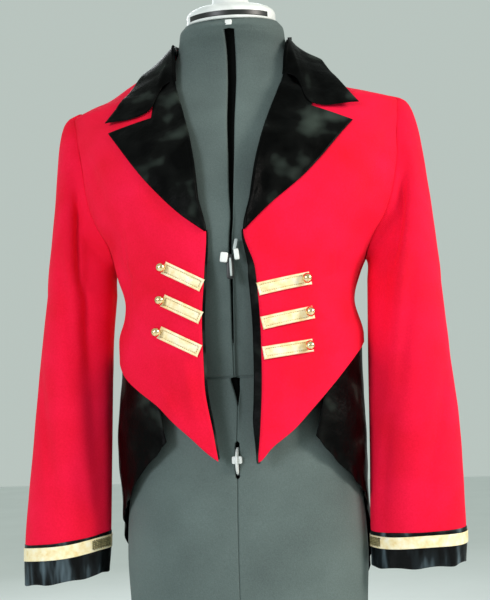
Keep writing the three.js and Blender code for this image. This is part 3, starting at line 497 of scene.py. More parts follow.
def ripple(kind, a, b, seed):
    """Small uneven waves of cloth: the mean of five sines of differing length and direction."""
    height, size = WAVES[kind]
    total = 0.0
    for k in range(5):
        heading = seed * 1.7 + k * 2.4
        length = size * (0.7 + 0.35 * k)
        wave = (a * math.cos(heading) + b * math.sin(heading)) * 2 * math.pi / length
        total = total + np.sin(wave + seed * 3.1 + k * 1.3)
    return height * (total / 5)


def front_point(name, turn, z, lift=0.0):
    """A point of the jacket's front by its turn and height, with its folds pressed in."""
    p = BODY.point(SIDES[name], turn, z)
    return BODY.lift(p, lift - fold(FRONT_FOLDS[name], p[..., 0], p[..., 2]))


def front_at(name, x, z, lift=0.0):
    """A point of the jacket's front by its place seen from the front."""
    x, z = np.broadcast_arrays(np.asarray(x, float), np.asarray(z, float))
    return front_point(name, BODY.turn_at(SIDES[name], x, z), z, lift)


def shoulder_seam(side, across):
    """Places along the shoulder seam from the neck outwards; its height is found by halving."""
    x = mix(BODY.width(side, NECK_Z), BODY.width(side, ARMHOLE_TOP_Z), across)
    low, high = np.full_like(x, ARMHOLE_TOP_Z), np.full_like(x, NECK_Z)
    for _ in range(30):
        middle = (low + high) / 2
        wide = BODY.width(side, middle) > x
        low, high = np.where(wide, middle, low), np.where(wide, high, middle)
    return np.full_like(x, QUARTER), low


def patch(near, far, bottom, top, up, across):
    """A patch between four edges that each give turn and height.

    It is the plain patch between its corners, plus the bends of the near and far edges mixed
    across, plus the bends of the bottom and top, which fade with the third power.
    """
    result = []
    for k in (0, 1):
        ends = [edge(np.array([0.0, 1.0]))[k] for edge in (near, far)]
        low = mix(ends[0][0], ends[1][0], across)
        high = mix(ends[0][1], ends[1][1], across)
        near_bend = near(up)[k] - mix(ends[0][0], ends[0][1], up)
        far_bend = far(up)[k] - mix(ends[1][0], ends[1][1], up)
        result.append(mix(low, high, up) + mix(near_bend, far_bend, across)
                      + (bottom(across)[k] - low) * (1 - up) ** 3 + (top(across)[k] - high) * up ** 3)
    return result


CLOSE_STEPS = np.array([-0.012, -0.006, -0.003, 0, 0.003, 0.006, 0.012])


def shares(count, *close):
    """Shares from 0 to 1, closer together beside each named share."""
    near = [np.clip(c + CLOSE_STEPS, 0, 1) for c in close]
    every = np.concatenate([np.linspace(0, 1, count), *near])
    return np.unique(np.round(every, 5))


# ---------------------------------------------------------------- meshes


def grid_normals(grid, ringed):
    """Normals of a grid of points from the cross product of its differences along both ways."""
    down = np.gradient(grid, axis=0)
    if ringed:
        across = np.roll(grid, -1, axis=1) - np.roll(grid, 1, axis=1)
    else:
        across = np.gradient(grid, axis=1)
    return unit(np.cross(across, down))


def volume_of(points, faces):
    """Six times the volume inside the faces, which is negative where they face inwards."""
    a, b, c, d = (points[faces[:, k]] for k in range(4))
    return np.einsum("ij,ij->", a, np.cross(b, c)) + np.einsum("ij,ij->", a, np.cross(c, d))


def make_object(name, points, faces, uv=None, materials=(), face_material=None):
    """A mesh object from points in millimetres, with its faces turned out and shaded smooth.

    A face whose first and last corners are the same point is a triangle.
    """
    if volume_of(points, faces) < 0:
        faces = faces[:, ::-1]
        uv = None if uv is None else uv[:, ::-1]
    keep = np.ones(faces.shape, bool)
    keep[:, 3] = faces[:, 3] != faces[:, 0]
    corners = keep.sum(1).astype(np.int32)
    mesh = bpy.data.meshes.new(name)
    mesh.vertices.add(len(points))
    mesh.vertices.foreach_set("co", (points / METRE).astype(np.float32).ravel())
    mesh.loops.add(int(corners.sum()))
    mesh.loops.foreach_set("vertex_index", faces[keep].astype(np.int32))
    mesh.polygons.add(len(faces))
    mesh.polygons.foreach_set("loop_start", (np.cumsum(corners) - corners).astype(np.int32))
    mesh.update(calc_edges=True)
    mesh.shade_smooth()
    if uv is not None:
        layer = mesh.uv_layers.new(name="Cut")
        layer.data.foreach_set("uv", (uv[keep] / METRE).astype(np.float32).ravel())
    for material in materials:
        mesh.materials.append(material)
    if face_material is not None:
        mesh.polygons.foreach_set("material_index", face_material.astype(np.int32))
    mesh.validate()
    made = bpy.data.objects.new(name, mesh)
    bpy.context.scene.collection.objects.link(made)
    return made


def quads(a, b, c, d):
    """Faces from the arrays of their four corners."""
    return np.stack([x.ravel() for x in (a, b, c, d)], -1)


def outward_normals(grid, ringed):
    """The grid's normals, turned away from the middle of its rings, or else from the Z axis."""
    normal = grid_normals(grid, ringed)
    middle = grid.mean(1, keepdims=True) if ringed else np.array([0, 0, grid[..., 2].mean()])
    return normal * np.sign((normal * (grid - middle)).sum())


def lengths_along(grid, axis):
    """Running length along one way of a grid, at its middle line, in millimetres."""
    step = np.linalg.norm(np.diff(grid, axis=axis), axis=-1)
    middle = np.take(step, step.shape[1 - axis] // 2, axis=1 - axis)
    return np.concatenate([[0.0], np.cumsum(middle)])


def shell(name, outer, thickness, material, ringed=False):
    """A closed wall of cloth behind a grid of points, ordered (row, column).

    The inner face lies a thickness against the normals. Each open edge is closed by a rim
    whose middle stands out a little, which gives a soft turned edge. A ringed grid closes on
    itself along its rows.
    """
    rows, columns = outer.shape[:2]
    count = rows * columns
    inner = outer - outward_normals(outer, ringed) * thickness
    index = np.arange(count).reshape(rows, columns)
    if ringed:
        this, ahead = index, np.roll(index, -1, 1)
        edges = [(index[0], index[1]), (index[-1], index[-2])]
    else:
        this, ahead = index[:, :-1], index[:, 1:]
        ring = np.concatenate([index[0, :-1], index[:-1, -1], index[-1, :0:-1], index[:0:-1, 0]])
        row, column = np.clip([ring // columns, ring % columns], 1, [[rows - 2], [columns - 2]])
        edges = [(ring, row * columns + column)]
    faces = [quads(this[:-1], ahead[:-1], ahead[1:], this[1:]),
             quads(this[:-1], this[1:], ahead[1:], ahead[:-1]) + count]
    points = [outer.reshape(-1, 3), inner.reshape(-1, 3)]
    first = 2 * count
    for edge, next_in in edges:
        out = unit(points[0][edge] - points[0][next_in])
        points.append((points[0][edge] + points[1][edge]) / 2 + out * RIM * thickness)
        middle = first + np.arange(len(edge))
        first += len(edge)
        edge_ahead, middle_ahead = np.roll(edge, -1), np.roll(middle, -1)
        faces.append(quads(edge, middle, middle_ahead, edge_ahead))
        faces.append(quads(middle, edge + count, edge_ahead + count, middle_ahead))
    faces = orient_rims(faces)
    u = lengths_along(np.concatenate([outer, outer[:, :1]], 1) if ringed else outer, 1)
    uv = cut_coordinates(faces, u, lengths_along(outer, 0), rows, columns, ringed)
    return make_object(name, np.concatenate(points), np.concatenate(faces), uv, (material,))


def orient_rims(faces):
    """Turns each rim strip so that it runs the other way along the edge than the wall does."""
    wall = faces[0]
    following = np.roll(wall, -1, axis=1)
    turned = faces[:2]
    for strip in range(2, len(faces), 2):
        start, end = faces[strip][0, 3], faces[strip][0, 0]
        same = ((wall == start) & (following == end)).any()
        turned += [faces[k][:, ::-1] if same else faces[k] for k in (strip, strip + 1)]
    return turned


def cut_coordinates(faces, u, v, rows, columns, ringed):
    """Coordinates on the flat cut for each face corner, in millimetres."""
    count = rows * columns
    result = []
    for k, strip in enumerate(faces):
        if k > 1:
            corner = np.where(strip >= 2 * count, np.min(strip, 1, keepdims=True), strip) % count
        else:
            corner = strip % count
        row, column = corner // columns, corner % columns
        if ringed:
            wraps = (column.max(1) - column.min(1)) > columns // 2
            column = np.where(wraps[:, None] & (column < columns // 2), column + columns, column)
        result.append(np.stack([u[np.minimum(column, len(u) - 1)], v[row]], -1))
    return np.concatenate(result)


def turned_body(name, profile, around, material, place=None):
    """A body turned about Z: each profile row (radius, z) carried round, with poles closed."""
    radius, z = np.array(profile, float).T
    angle = np.arange(around) * 2 * math.pi / around
    x = radius[:, None] * np.cos(angle)
    y = radius[:, None] * np.sin(angle)
    grid = np.stack([x, y, np.broadcast_to(z[:, None], x.shape)], -1)
    return capped(name, grid, (material,), place=place)


def capped_faces(rows, columns):
    """Faces of a tube of rings with a pole at each end; the two poles follow the rings' points."""
    index = np.arange(rows * columns).reshape(rows, columns)
    ahead = np.roll(index, -1, 1)
    low, high = (np.full(columns, rows * columns + k) for k in (0, 1))
    return np.concatenate([quads(index[:-1], ahead[:-1], ahead[1:], index[1:]),
                           quads(low, ahead[0], index[0], low), quads(high, index[-1], ahead[-1], high)])


def capped(name, grid, materials, face_material=None, place=None):
    """A closed body through rings of points, with a flat pole at each end."""
    rows, columns = grid.shape[:2]
    points = np.concatenate([grid.reshape(-1, 3), [grid[0].mean(0), grid[-1].mean(0)]])
    if place is not None:
        points = placed(points, place)
    if face_material is not None:
        face_material = np.concatenate([face_material.ravel(), np.zeros(2 * columns)])
    return make_object(name, points, capped_faces(rows, columns), None, materials, face_material)


def placed(points, place):
    """The points carried by a place's turn and shift."""
    return points @ np.array(place.to_3x3()).T + np.array(place.translation)


# ---------------------------------------------------------------- materials


WAVE_TURN = 2 * math.pi / 20  # the wave texture's scale that gives one period to a unit


def linear(code):
    """An sRGB hex colour as linear red, green, blue and alpha."""
    parts = [int(code[k:k + 2], 16) / 255 for k in (1, 3, 5)]
    return [p / 12.92 if p <= 0.04045 else ((p + 0.055) / 1.055) ** 2.4 for p in parts] + [1.0]


def add(tree, kind, inputs=None, **settings):
    """Adds one node with its settings; an input that is a socket is linked to it."""
    made = tree.nodes.new(kind)
    for key, value in settings.items():
        setattr(made, key, value)
    for key, value in (inputs or {}).items():
        if isinstance(value, bpy.types.NodeSocket):
            tree.links.new(value, made.inputs[key])
        else:
            made.inputs[key].default_value = value
    return made


def finish(name, patterns, stops, relief_mm, **surface):
    """A procedural finish.

    Each pattern is (weight in the tone, weight in the relief, kind, size in mm, ...). "noise" is
    fractal noise in space with a detail, a roughness and an upright scale. "weave" is the product
    of two sine waves on the flat cut, one period to each thread, and "floats" is one of them. The
    colour is a ramp over the sum of the tones, and the relief is a bump over the other sum.
    """
    material = bpy.data.materials.new(name)
    material.use_nodes = True
    tree = material.node_tree
    tree.nodes.clear()
    tone = relief = 0.0
    for in_tone, in_relief, kind, size, *noise in patterns:
        if kind == "noise":
            detail, rough, upright = noise
            place = add(tree, "ShaderNodeTexCoord").outputs["Object"]
            drawn = add(tree, "ShaderNodeMapping", {"Vector": place, "Scale": (1, 1, upright)})
            made = add(tree, "ShaderNodeTexNoise", {
                "Vector": drawn.outputs["Vector"], "Scale": METRE / size, "Detail": detail,
                "Roughness": rough}).outputs["Fac"]
        else:
            place = add(tree, "ShaderNodeUVMap", uv_map="Cut").outputs["UV"]
            made = 1.0
            for way in ("XY" if kind == "weave" else "X"):
                wave = add(tree, "ShaderNodeTexWave", {
                    "Vector": place, "Scale": WAVE_TURN * METRE / size, "Distortion": 0.6,
                    "Detail": 1.0, "Detail Scale": 1.5}, bands_direction=way).outputs["Fac"]
                made = add(tree, "ShaderNodeMath", {0: wave, 1: made}, operation="MULTIPLY").outputs[0]
        tone, relief = (
            add(tree, "ShaderNodeMath", {0: made, 1: share, 2: total}, operation="MULTIPLY_ADD").outputs[0]
            for share, total in ((in_tone, tone), (in_relief, relief)))
    ramp = add(tree, "ShaderNodeValToRGB", {"Fac": tone})
    for k, (position, code) in enumerate(stops):
        element = ramp.color_ramp.elements[k] if k < 2 else ramp.color_ramp.elements.new(position)
        element.position, element.color = position, linear(code)
    bump = add(tree, "ShaderNodeBump", {"Height": relief, "Distance": relief_mm / METRE, "Strength": 1.0})
    shader = add(tree, "ShaderNodeBsdfPrincipled", {
        "Base Color": ramp.outputs["Color"], "Normal": bump.outputs["Normal"],
        **{key.replace("_", " "): value for key, value in surface.items()}})
    add(tree, "ShaderNodeOutputMaterial", {"Surface": shader.outputs["BSDF"]})
    return material


def satin(name, painted_sheen_mm, upright, stops, specular):
    """Satin: fine floats along the warp and soft crushing in the relief, and painted sheen in the colour:
    paler patches of noise over black.
    """
    return finish(
        name, ((1, 0, "noise", painted_sheen_mm, 2.0, 0.45, upright), (0, 1.6, "noise", 22, 3.0, 0.55, 1),
               (0, 0.05, "floats", 0.9)),
        stops, 1.1, Roughness=0.36, Specular_IOR_Level=specular, Sheen_Weight=0.0)


def plastic(name, dark, light, roughness):
    """Injection-moulded ABS: even colour, a faint orange-peel skin."""
    return finish(name, ((1, 0, "noise", 25, 2.0, 0.55, 1), (0, 1, "noise", 1.5, 2.0, 0.55, 1)),
                  ((0.35, dark), (0.65, light)), 0.03, Roughness=roughness, IOR=1.52)


def make_materials():
    """The finishes, each named for what it really is."""
    made = {}
    # Piece-dyed cotton gabardine: matt, with a faint fuzz. Its threads, 0.35 mm apart in the real
    # cloth, are drawn 1 mm apart so that they show.
    made["red"] = finish(
        "Red cotton gabardine",
        ((0.21, 1, "weave", 1.0), (0.39, 0.8, "noise", 2.2, 5.0, 0.65, 1),
         (0.4, 0, "noise", 60, 2.0, 0.5, 1)),
        ((0.25, "#dc001e"), (0.5, "#ee0838"), (0.75, "#fa184c")), 0.12,
        Roughness=0.85, Specular_IOR_Level=0.2, Sheen_Weight=0.12, Sheen_Roughness=0.45,
        Sheen_Tint=linear("#ff6a80"))
    # Woven polyester satin, deep black with long floats; its soft grey sheen in patches is painted into its
    # colour.
    made["satin"] = satin("Black polyester satin", 44, 1.0,
                          ((0.45, "#010101"), (0.58, "#0a0b0a"), (0.76, "#343c37")), 0.05)
    # The cuffs' satin has painted highlights: its shine is painted into its colour in upright bands.
    made["pressed"] = satin("Black polyester satin, pressed", 15, 0.2,
                            ((0.42, "#030405"), (0.53, "#171d20"), (0.66, "#4e5c63")), 0.12)
    # Lame ribbon woven from flat metal-coated strips: ribs over a slightly crumpled pale gold.
    made["ribbon"] = finish(
        "Pale gold lame ribbon", ((1, 1, "noise", 9, 3.0, 0.6, 1), (0, 0.4, "weave", 0.8)),
        ((0.3, "#f3d795"), (0.5, "#fdebbc"), (0.7, "#fff5da")), 0.35,
        Roughness=0.3, Metallic=0.15, Specular_IOR_Level=0.8)
    # The ribbon's reverse, where its ends lap: duller, with the core threads bare.
    made["reverse"] = finish(
        "Lame ribbon, reverse side", ((0.35, 1, "weave", 2.2), (0.65, 0.8, "noise", 3.4, 4.0, 0.65, 1)),
        ((0.3, "#4c4529"), (0.5, "#857a4c"), (0.66, "#c9bd8e")), 0.3, Roughness=0.5,
        Specular_IOR_Level=0.5)
    # Gold-plated brass, tumbled and polished: a mirror with a faint unevenness.
    made["gold"] = finish("Polished gold plate", ((1, 1, "noise", 3, 4.0, 0.55, 1),),
                          ((0.35, "#e8c68a"), (0.6, "#fbe6b8")), 0.03, Metallic=1.0, Roughness=0.15)
    # Twisted metallic sewing thread, a tone darker than the ribbon.
    made["thread"] = finish("Gold sewing thread", ((1, 1, "noise", 0.8, 3.0, 0.6, 1),),
                            ((0.35, "#8a6a2c"), (0.65, "#c29c50")), 0.05, Roughness=0.6)
    # Knitted nylon over foam: an even greenish grey with a small grain.
    made["form"] = finish(
        "Grey nylon jersey over foam",
        ((0.45, 1, "noise", 1.6, 3.0, 0.6, 1), (0.55, 0, "noise", 90, 2.0, 0.5, 1)),
        ((0.3, "#4c5655"), (0.5, "#586462"), (0.7, "#63706e")), 0.25, Roughness=0.9,
        Specular_IOR_Level=0.2, Sheen_Weight=0.1, Sheen_Roughness=0.5, Sheen_Tint=linear("#c8d4d0"))
    # Painted shade in the slot: nearly black, with a little grain, on the faces deeper than 2.2 mm.
    made["slot"] = finish("Painted shade inside the slot", ((1, 1, "noise", 1.2, 3.0, 0.55, 1),),
                          ((0.3, "#040504"), (0.7, "#0c0e0d")), 0.1, Roughness=0.95, Specular_IOR_Level=0.1)
    # The same plastic in three colours; the darkest prints the cap's band, and darkens the adjuster's
    # recess as painted shade.
    made["white"] = plastic("White ABS, moulded", "#d8dad8", "#e9ebe9", 0.35)
    made["grey"] = plastic("Grey ABS, moulded", "#9aa3a2", "#b4bcbb", 0.35)
    made["dark"] = plastic("Black ABS print and painted shade", "#0c0d0e", "#141516", 0.4)
    # Baked powder coat on steel: charcoal, with a fine pebbled skin.
    made["steel"] = finish("Powder-coated steel",
                           ((1, 0, "noise", 40, 3.0, 0.55, 1), (0, 1, "noise", 1.2, 2.0, 0.55, 1)),
                           ((0.35, "#25282a"), (0.65, "#303437")), 0.12, Roughness=0.45)
    # Matt emulsion on a smooth floor.
    made["floor"] = finish("Matt painted floor", ((1, 1, "noise", 400, 4.0, 0.55, 1),),
                           ((0.3, "#e2e6e5"), (0.7, "#e7ebea")), 0.1, Roughness=0.9)
    return made


# ---------------------------------------------------------------- pieces of the jacket


def front_edge(name, share):
    """The front's edge from the hem to the neck: its turn and height at each share."""
    z = np.where(share < 0.5, mix(HEM_Z[name](0), BREAK_Z, share * 2), mix(BREAK_Z, NECK_Z, share * 2 - 1))
    return BODY.turn_at(SIDES[name], FRONT_EDGE_X[name](z), z), z


def side_edge(half, hem_z, side_share):
    """The side seam from the hem up, and then one half of the armhole."""
    def at(share):
        along = np.clip((share - side_share) / (1 - side_share), 0, 1)
        seam = share < side_share
        turn = np.where(seam, QUARTER, np.radians(ARMHOLE_TURN[half](along)))
        return turn, np.where(seam, mix(hem_z, UNDERARM_Z, share / side_share), ARMHOLE_Z(along))
    return at


def front_panel(name):
    """The front: a patch from its edge to the side seam and armhole, lying on the body's rings."""
    hem = HEM_Z[name]
    first = front_edge(name, np.array([0.0]))[0][0]
    up = shares(150, FRONT_SIDE_SHARE)[:, None]
    across = shares(64)[None, :]

    def bottom(share):
        turn = mix(first, QUARTER, share)
        return turn, hem(np.degrees(turn))

    turn, z = patch(lambda s: front_edge(name, s), side_edge("front", hem(90), FRONT_SIDE_SHARE),
                    bottom, lambda s: shoulder_seam(SIDES[name], s), up, across)
    grid = front_point(name, turn, z)
    soft = smooth(across, 0, 0.08) * smooth(1 - across, 0, 0.05) * smooth(up, 0, 0.03)
    return BODY.lift(grid, ripple("front", grid[..., 0], grid[..., 2], SIDES[name]) * soft)


def back_panel(name):
    """The back: a patch from the centre back seam to the side seam and armhole."""
    hem = HEM_Z[name]
    side = SIDES[name]
    up = shares(130, BACK_SIDE_SHARE)[:, None]
    across = shares(64, BACK_NECK_SHARE)[None, :]

    def near(share):
        return np.full_like(share, math.pi), mix(hem(180), BACK_NECK_Z, share)

    def bottom(share):
        turn = mix(math.pi, QUARTER, share)
        return turn, hem(np.degrees(turn))

    def top(share):
        inner = np.clip(share / BACK_NECK_SHARE, 0, 1)
        outer = np.clip((share - BACK_NECK_SHARE) / (1 - BACK_NECK_SHARE), 0, 1)
        seam_turn, seam_z = shoulder_seam(side, outer)
        neck = share < BACK_NECK_SHARE
        return (np.where(neck, mix(math.pi, QUARTER, inner), seam_turn),
                np.where(neck, mix(BACK_NECK_Z, NECK_Z, inner * inner), seam_z))

    turn, z = patch(near, side_edge("back", hem(90), BACK_SIDE_SHARE), bottom, top, up, across)
    grid = BODY.point(side, turn, z)
    soft = smooth(across, 0, 0.06) * smooth(1 - across, 0, 0.06)
    press = fold(BACK_FOLDS, grid[..., 0], grid[..., 2]) * soft
    return BODY.lift(grid, ripple("back", grid[..., 0], grid[..., 2], 2 + side) * soft - press)


FACING_AND_SHADOW_SHOWS = {"left": 10.0, "right": 3.5}  # how much of the facing is seen at mid height; the left one's extra width is painted shadow of the front's edge on the form
FACING_LEAST = 2.2  # how much of it is seen at its ends
FACING_UNDER = 1.5  # how far it reaches under the red cloth
FACING_DEPTH = 0.9  # how far it lies behind the face of the red cloth
EDGE_FLAT = {"left": (0.016, 0.0034), "right": (0.0105, 0.0017)}  # width and area of its strip, flat


def edge_trim(name):
    """The satin facing that shows as a narrow edge along the front, turned in towards the form; the left
    one is widened as painted shadow of the front's edge on the form.
    """
    first = HEM_Z[name](0)
    z = mix(first + 3, BREAK_Z + 2, np.linspace(0, 1, 110))[:, None]
    ends = smooth(z, first - 4, first + 60) * (1 - smooth(z, BREAK_Z - 60, BREAK_Z + 6))
    show = mix(FACING_LEAST, FACING_AND_SHADOW_SHOWS[name], ends)
    across = np.linspace(0, 1, 9)[None, :]
    x = FRONT_EDGE_X[name](z) + FACING_UNDER - (show + FACING_UNDER) * (1 - across)
    wave = 0.6 * np.sin(z / 9 + 1.2 * np.sin(z / 31)) * ends
    turned_in = (show * 0.35) * (1 - across) ** 1.3
    return front_at(name, x, z, -FACING_DEPTH - turned_in + wave * (1 - across))


GORGE = {"left": (-8.5, -20.0), "right": (-17.0, -25.0)}  # how far the notch's inner corner is pulled in
LAPEL_START = 1.4  # how far inside the front's edge the flat part of the lapel starts
LAPEL_TUCK = (8, 9)  # how far its top edge reaches out and up under the collar
LAPEL_LOW = TRIM_LIFT + 1.2  # clearance of the lapel's outer edge, and how much more the roll has
LAPEL_ROLL = 3
ROLL_DEPTH = 2.6  # how far behind the front's face the roll ends


def lapel(name):
    """The lapel from its soft roll, which wraps round the front's edge, out to its own edge.

    Its top edge runs under the collar as far as the notch's inner corner, and from there is free.
    """
    edge_x = curve(LAPEL_EDGE, "along", "x")
    edge_z = curve(LAPEL_EDGE, "along", name)
    up = np.linspace(0, 1, 110)[:, None]
    roll_z = mix(BREAK_Z + 2, ROLL_TOP_Z + 8, up)
    roll_x = FRONT_EDGE_X[name](roll_z)
    across = np.linspace(0, 1, 45)[None, :]
    corner = up ** 4 * (1 - np.abs(2 * across - 1))
    under = up ** 6 * np.where(across < 0.5, np.sin(2 * math.pi * np.minimum(across, 0.5)), 0)
    x = mix(roll_x + LAPEL_START, edge_x(up), across) + GORGE[name][0] * corner + LAPEL_TUCK[0] * under
    z = mix(roll_z, edge_z(up), across) + GORGE[name][1] * corner + LAPEL_TUCK[1] * under
    low = LAPEL_LOW - 0.9 * np.minimum(under * 2, 1)
    high = low + LAPEL_ROLL * np.minimum(1, 4 * up) * (1 - 0.6 * smooth(up, 0.85, 1))
    wave = ripple("lapel", x, z, 4 + SIDES[name]) + ripple("lapel_fine", x, z, 1 + SIDES[name])
    crease = np.maximum(wave + 0.5, -0.8) * smooth(across, 0.05, 0.3) * smooth(1 - across, 0, 0.15)
    crease = crease * smooth(up, 0.02, 0.2) * (1 - smooth(up, 0.9, 1))
    lift = low + (high - low) * (1 - across) ** 3 + crease
    flat = front_at(name, x, z, lift)
    angle = np.linspace(math.pi, 0, 9)[None, :-1]
    rolled = high[:, :1]
    radius = (rolled + ROLL_DEPTH) / 2
    wrap = front_at(name, roll_x + LAPEL_START - radius * np.sin(angle), roll_z + 0 * angle,
                    rolled - radius * (1 - np.cos(angle)))
    return np.concatenate([wrap, flat], axis=1)


def neck_seam(name, place, lift, beyond):
    """Points over the neck seam: 0 at the centre back, 1 at the shoulder, 2 at the lapel.

    They stand a lift out of the body and a distance beyond the edge of the red cloth.
    """
    side = SIDES[name]
    back = place < 1
    z = np.where(back, mix(BACK_NECK_Z, NECK_Z, place * place), mix(NECK_Z, ROLL_TOP_Z, place - 1))
    turn = np.where(back, mix(math.pi, QUARTER, place), BODY.turn_at(side, FRONT_EDGE_X[name](z), z))
    forward = smooth(place, 0.9, 1.5)
    away = np.stack([-side * forward, 0 * place, 1 - 0.7 * forward], -1) * beyond
    return BODY.lift(BODY.point(side, turn, z), np.full_like(z, lift)) + away


def spline(knots, t):
    """Centripetal Catmull-Rom through knots (K, N, 3) at shares t of the way: (N, T, 3)."""
    first = 2 * knots[:1] - knots[1:2]
    last = 2 * knots[-1:] - knots[-2:-1]
    p = np.concatenate([first, knots, last])
    k = np.minimum((t * (len(knots) - 1)).astype(int), len(knots) - 2)
    local = (t * (len(knots) - 1) - k)[:, None, None]
    a, b, c, d = p[k], p[k + 1], p[k + 2], p[k + 3]
    gap = [np.linalg.norm(n - m, axis=-1, keepdims=True) ** 0.5 + 1e-6 for m, n in ((a, b), (b, c), (c, d))]
    t1, t2, t3 = gap[0], gap[0] + gap[1], gap[0] + gap[1] + gap[2]
    s = t1 + local * gap[1]
    a1 = (t1 - s) / t1 * a + s / t1 * b
    a2 = (t2 - s) / gap[1] * b + (s - t1) / gap[1] * c
    a3 = (t3 - s) / gap[2] * c + (s - t2) / gap[2] * d
    b1 = (t2 - s) / t2 * a1 + s / t2 * a2
    b2 = (t3 - s) / (t3 - t1) * a2 + (s - t1) / (t3 - t1) * a3
    return np.swapaxes((t2 - s) / gap[1] * b1 + (s - t1) / gap[1] * b2, 0, 1)


def collar():
    """The collar: from inside the neck over its edge, up the stand to the roll, down to its edge."""
    run = np.linspace(-1, 1, 201)
    along = np.abs(run)
    down = np.concatenate([np.linspace(0, 2 / 5, 14)[:-1], np.linspace(2 / 5, 1, 44)])
    halves = []
    for name in ("right", "left"):
        part = along[run < 0] if name == "right" else along[run >= 0]
        side = SIDES[name]
        place = curve(COLLAR, "along", "neck")(part)
        knots = [neck_seam(name, place, lift, beyond) for lift, beyond in COLLAR_STAND]
        for row in ("roll", "fall", "edge"):
            knot = np.stack([curve(COLLAR, "along", f"{row}_{axis}")(part) for axis in "xyz"], -1)
            if row == "edge":
                knot[:, ::2] += COLLAR_TIP[name] * (part ** 3)[:, None]
            knot[:, 0] *= side
            knots.append(knot)
        halves.append(spline(np.stack(knots), down))
    grid = np.concatenate(halves)
    free = smooth(down, 0.55, 0.8)[None, :]
    place = run[:, None] * COLLAR_FLAT[0] / 2, down[None, :] * COLLAR_FLAT[1]
    wave = (ripple("collar", *place, 7.0) + ripple("collar_fine", *place, 3.0)) * free
    grid = grid + grid_normals(grid, False) * wave[..., None]
    return np.where((down > 2.2 / 5)[None, :, None], BODY.clear(grid, TRIM_LIFT + 2.6), grid)


def tab_frame(name, k):
    """A tab's row of the table, its run from end to end, and the direction across it."""
    row = {key: TABS[name][key][k] for key in TABS[name]}
    run = np.array([row["to_x"] - row["x"], row["to_z"] - row["z"]])
    return row, run, np.array([-run[1], run[0]]) / np.hypot(*run)


def tab_points(name, k, along, across, lift):
    """Places on a ribbon tab: along its length (0..1), across in millimetres from its middle."""
    row, run, sideways = tab_frame(name, k)
    x = row["x"] + run[0] * along + sideways[0] * across
    z = row["z"] + run[1] * along + sideways[1] * across
    return front_at(name, x, z, lift)


# Height, distance from the edge and width of a tab's raised selvedge and of its sewn-down line.
SELVEDGE = (1.0, 1.4, 1.1)
SEWN_LINE = (-0.7, 3.3, 0.6)
TAB_BOW = 0.7  # how much the ribbon bows out between its edges


def tab(name, k):
    """A ribbon tab with raised selvedges and a sewn line inside them."""
    along = np.linspace(0, 1, 60)[:, None]
    across = np.linspace(-TAB_WIDTH / 2, TAB_WIDTH / 2, 31)[None, :]
    length = np.hypot(*tab_frame(name, k)[1])
    inside = np.minimum(np.minimum(along, 1 - along) * length, TAB_WIDTH / 2 - np.abs(across))
    rim = sum(height * np.exp(-((inside - at) / width) ** 2) for height, at, width in (SELVEDGE, SEWN_LINE))
    bow = TAB_BOW * np.sin(math.pi * along) * np.cos(across / TAB_WIDTH * math.pi)
    dent = ripple("tab", along * length, across, 1.3 + k + SIDES[name])
    return tab_points(name, k, along, across, TRIM_LIFT + 1.4 + rim + bow + dent)


STITCH = {"length": 1.8, "radius": 0.3, "pitch": 2.6, "inset": 3.2, "lift": TRIM_LIFT + 1.35}
STITCH_RINGS = np.array([(-0.8, 0.8), (0, 1.0), (0.8, 0.8)])  # places along half a stitch, and radii


def stitches(name, material, places, headings):
    """Short capsules of thread at each place, laid along its heading: one small mesh for all."""
    around = np.linspace(0, 2 * math.pi, 7)[:-1, None]
    forward = np.array([0.0, -1.0, 0.0])
    heading = unit(headings)
    normal = unit(forward - heading * (heading @ forward)[:, None])
    side = np.cross(heading, normal)
    spoke = normal[:, None] * np.cos(around) + side[:, None] * np.sin(around)
    along, wide = STITCH_RINGS.T
    half = heading[:, None] * STITCH["length"] / 2
    points = (places[:, None, None] + (half * along[:, None])[:, :, None]
              + STITCH["radius"] * wide[:, None, None] * spoke[:, None])
    poles = places[:, None] + half * np.array([[-1], [1]])
    count, rings, turns = points.shape[:3]
    every = np.concatenate([points.reshape(count, -1, 3), poles], axis=1)
    faces = capped_faces(rings, turns)[None] + (np.arange(count) * every.shape[1])[:, None, None]
    faces = faces.reshape(-1, 4)
    return make_object(name, every.reshape(-1, 3), faces, np.zeros((len(faces), 4, 2)), (material,))


def tab_stitches(name, material):
    """Running stitches in a rectangle inside the selvedges of each tab."""
    places, headings = [], []
    inset = STITCH["inset"]
    edge = TAB_WIDTH / 2 - inset
    for k in range(3):
        length = np.hypot(*tab_frame(name, k)[1])
        long_line = np.arange(inset + 1, length - inset, STITCH["pitch"]) / length
        short_line = np.arange(-edge + 1, edge, STITCH["pitch"])
        ends = inset / length, 1 - inset / length
        runs = [(long_line, across + 0 * long_line, 0.01, 0) for across in (-edge, edge)]
        runs += [(along + 0 * short_line, short_line, 0, 0.5) for along in ends]
        for along, across, step_along, step_across in runs:
            at = tab_points(name, k, along, across, STITCH["lift"])
            ahead = tab_points(name, k, along + step_along, across + step_across, STITCH["lift"])
            places.append(at)
            headings.append(ahead - at)
    return stitches(f"tab_stitches_{name}", material, np.concatenate(places), np.concatenate(headings))


# Radius and height of the ball button from its shank out, with a pressed seam round its middle.
BUTTON_PROFILE = (
    (0.6, -6.2), (2.4, -6.15), (2.8, -5.7), (2.5, -5.2), (3.4, -4.8), (4.6, -3.7), (5.5, -2.2),
    (5.95, -0.5), (6.0, -0.25), (5.88, 0.0), (6.0, 0.25), (5.9, 1.2), (5.4, 2.6), (4.5, 4.0),
    (3.2, 5.1), (1.7, 5.75), (0.4, 5.95),
)


# ---------------------------------------------------------------- sleeves


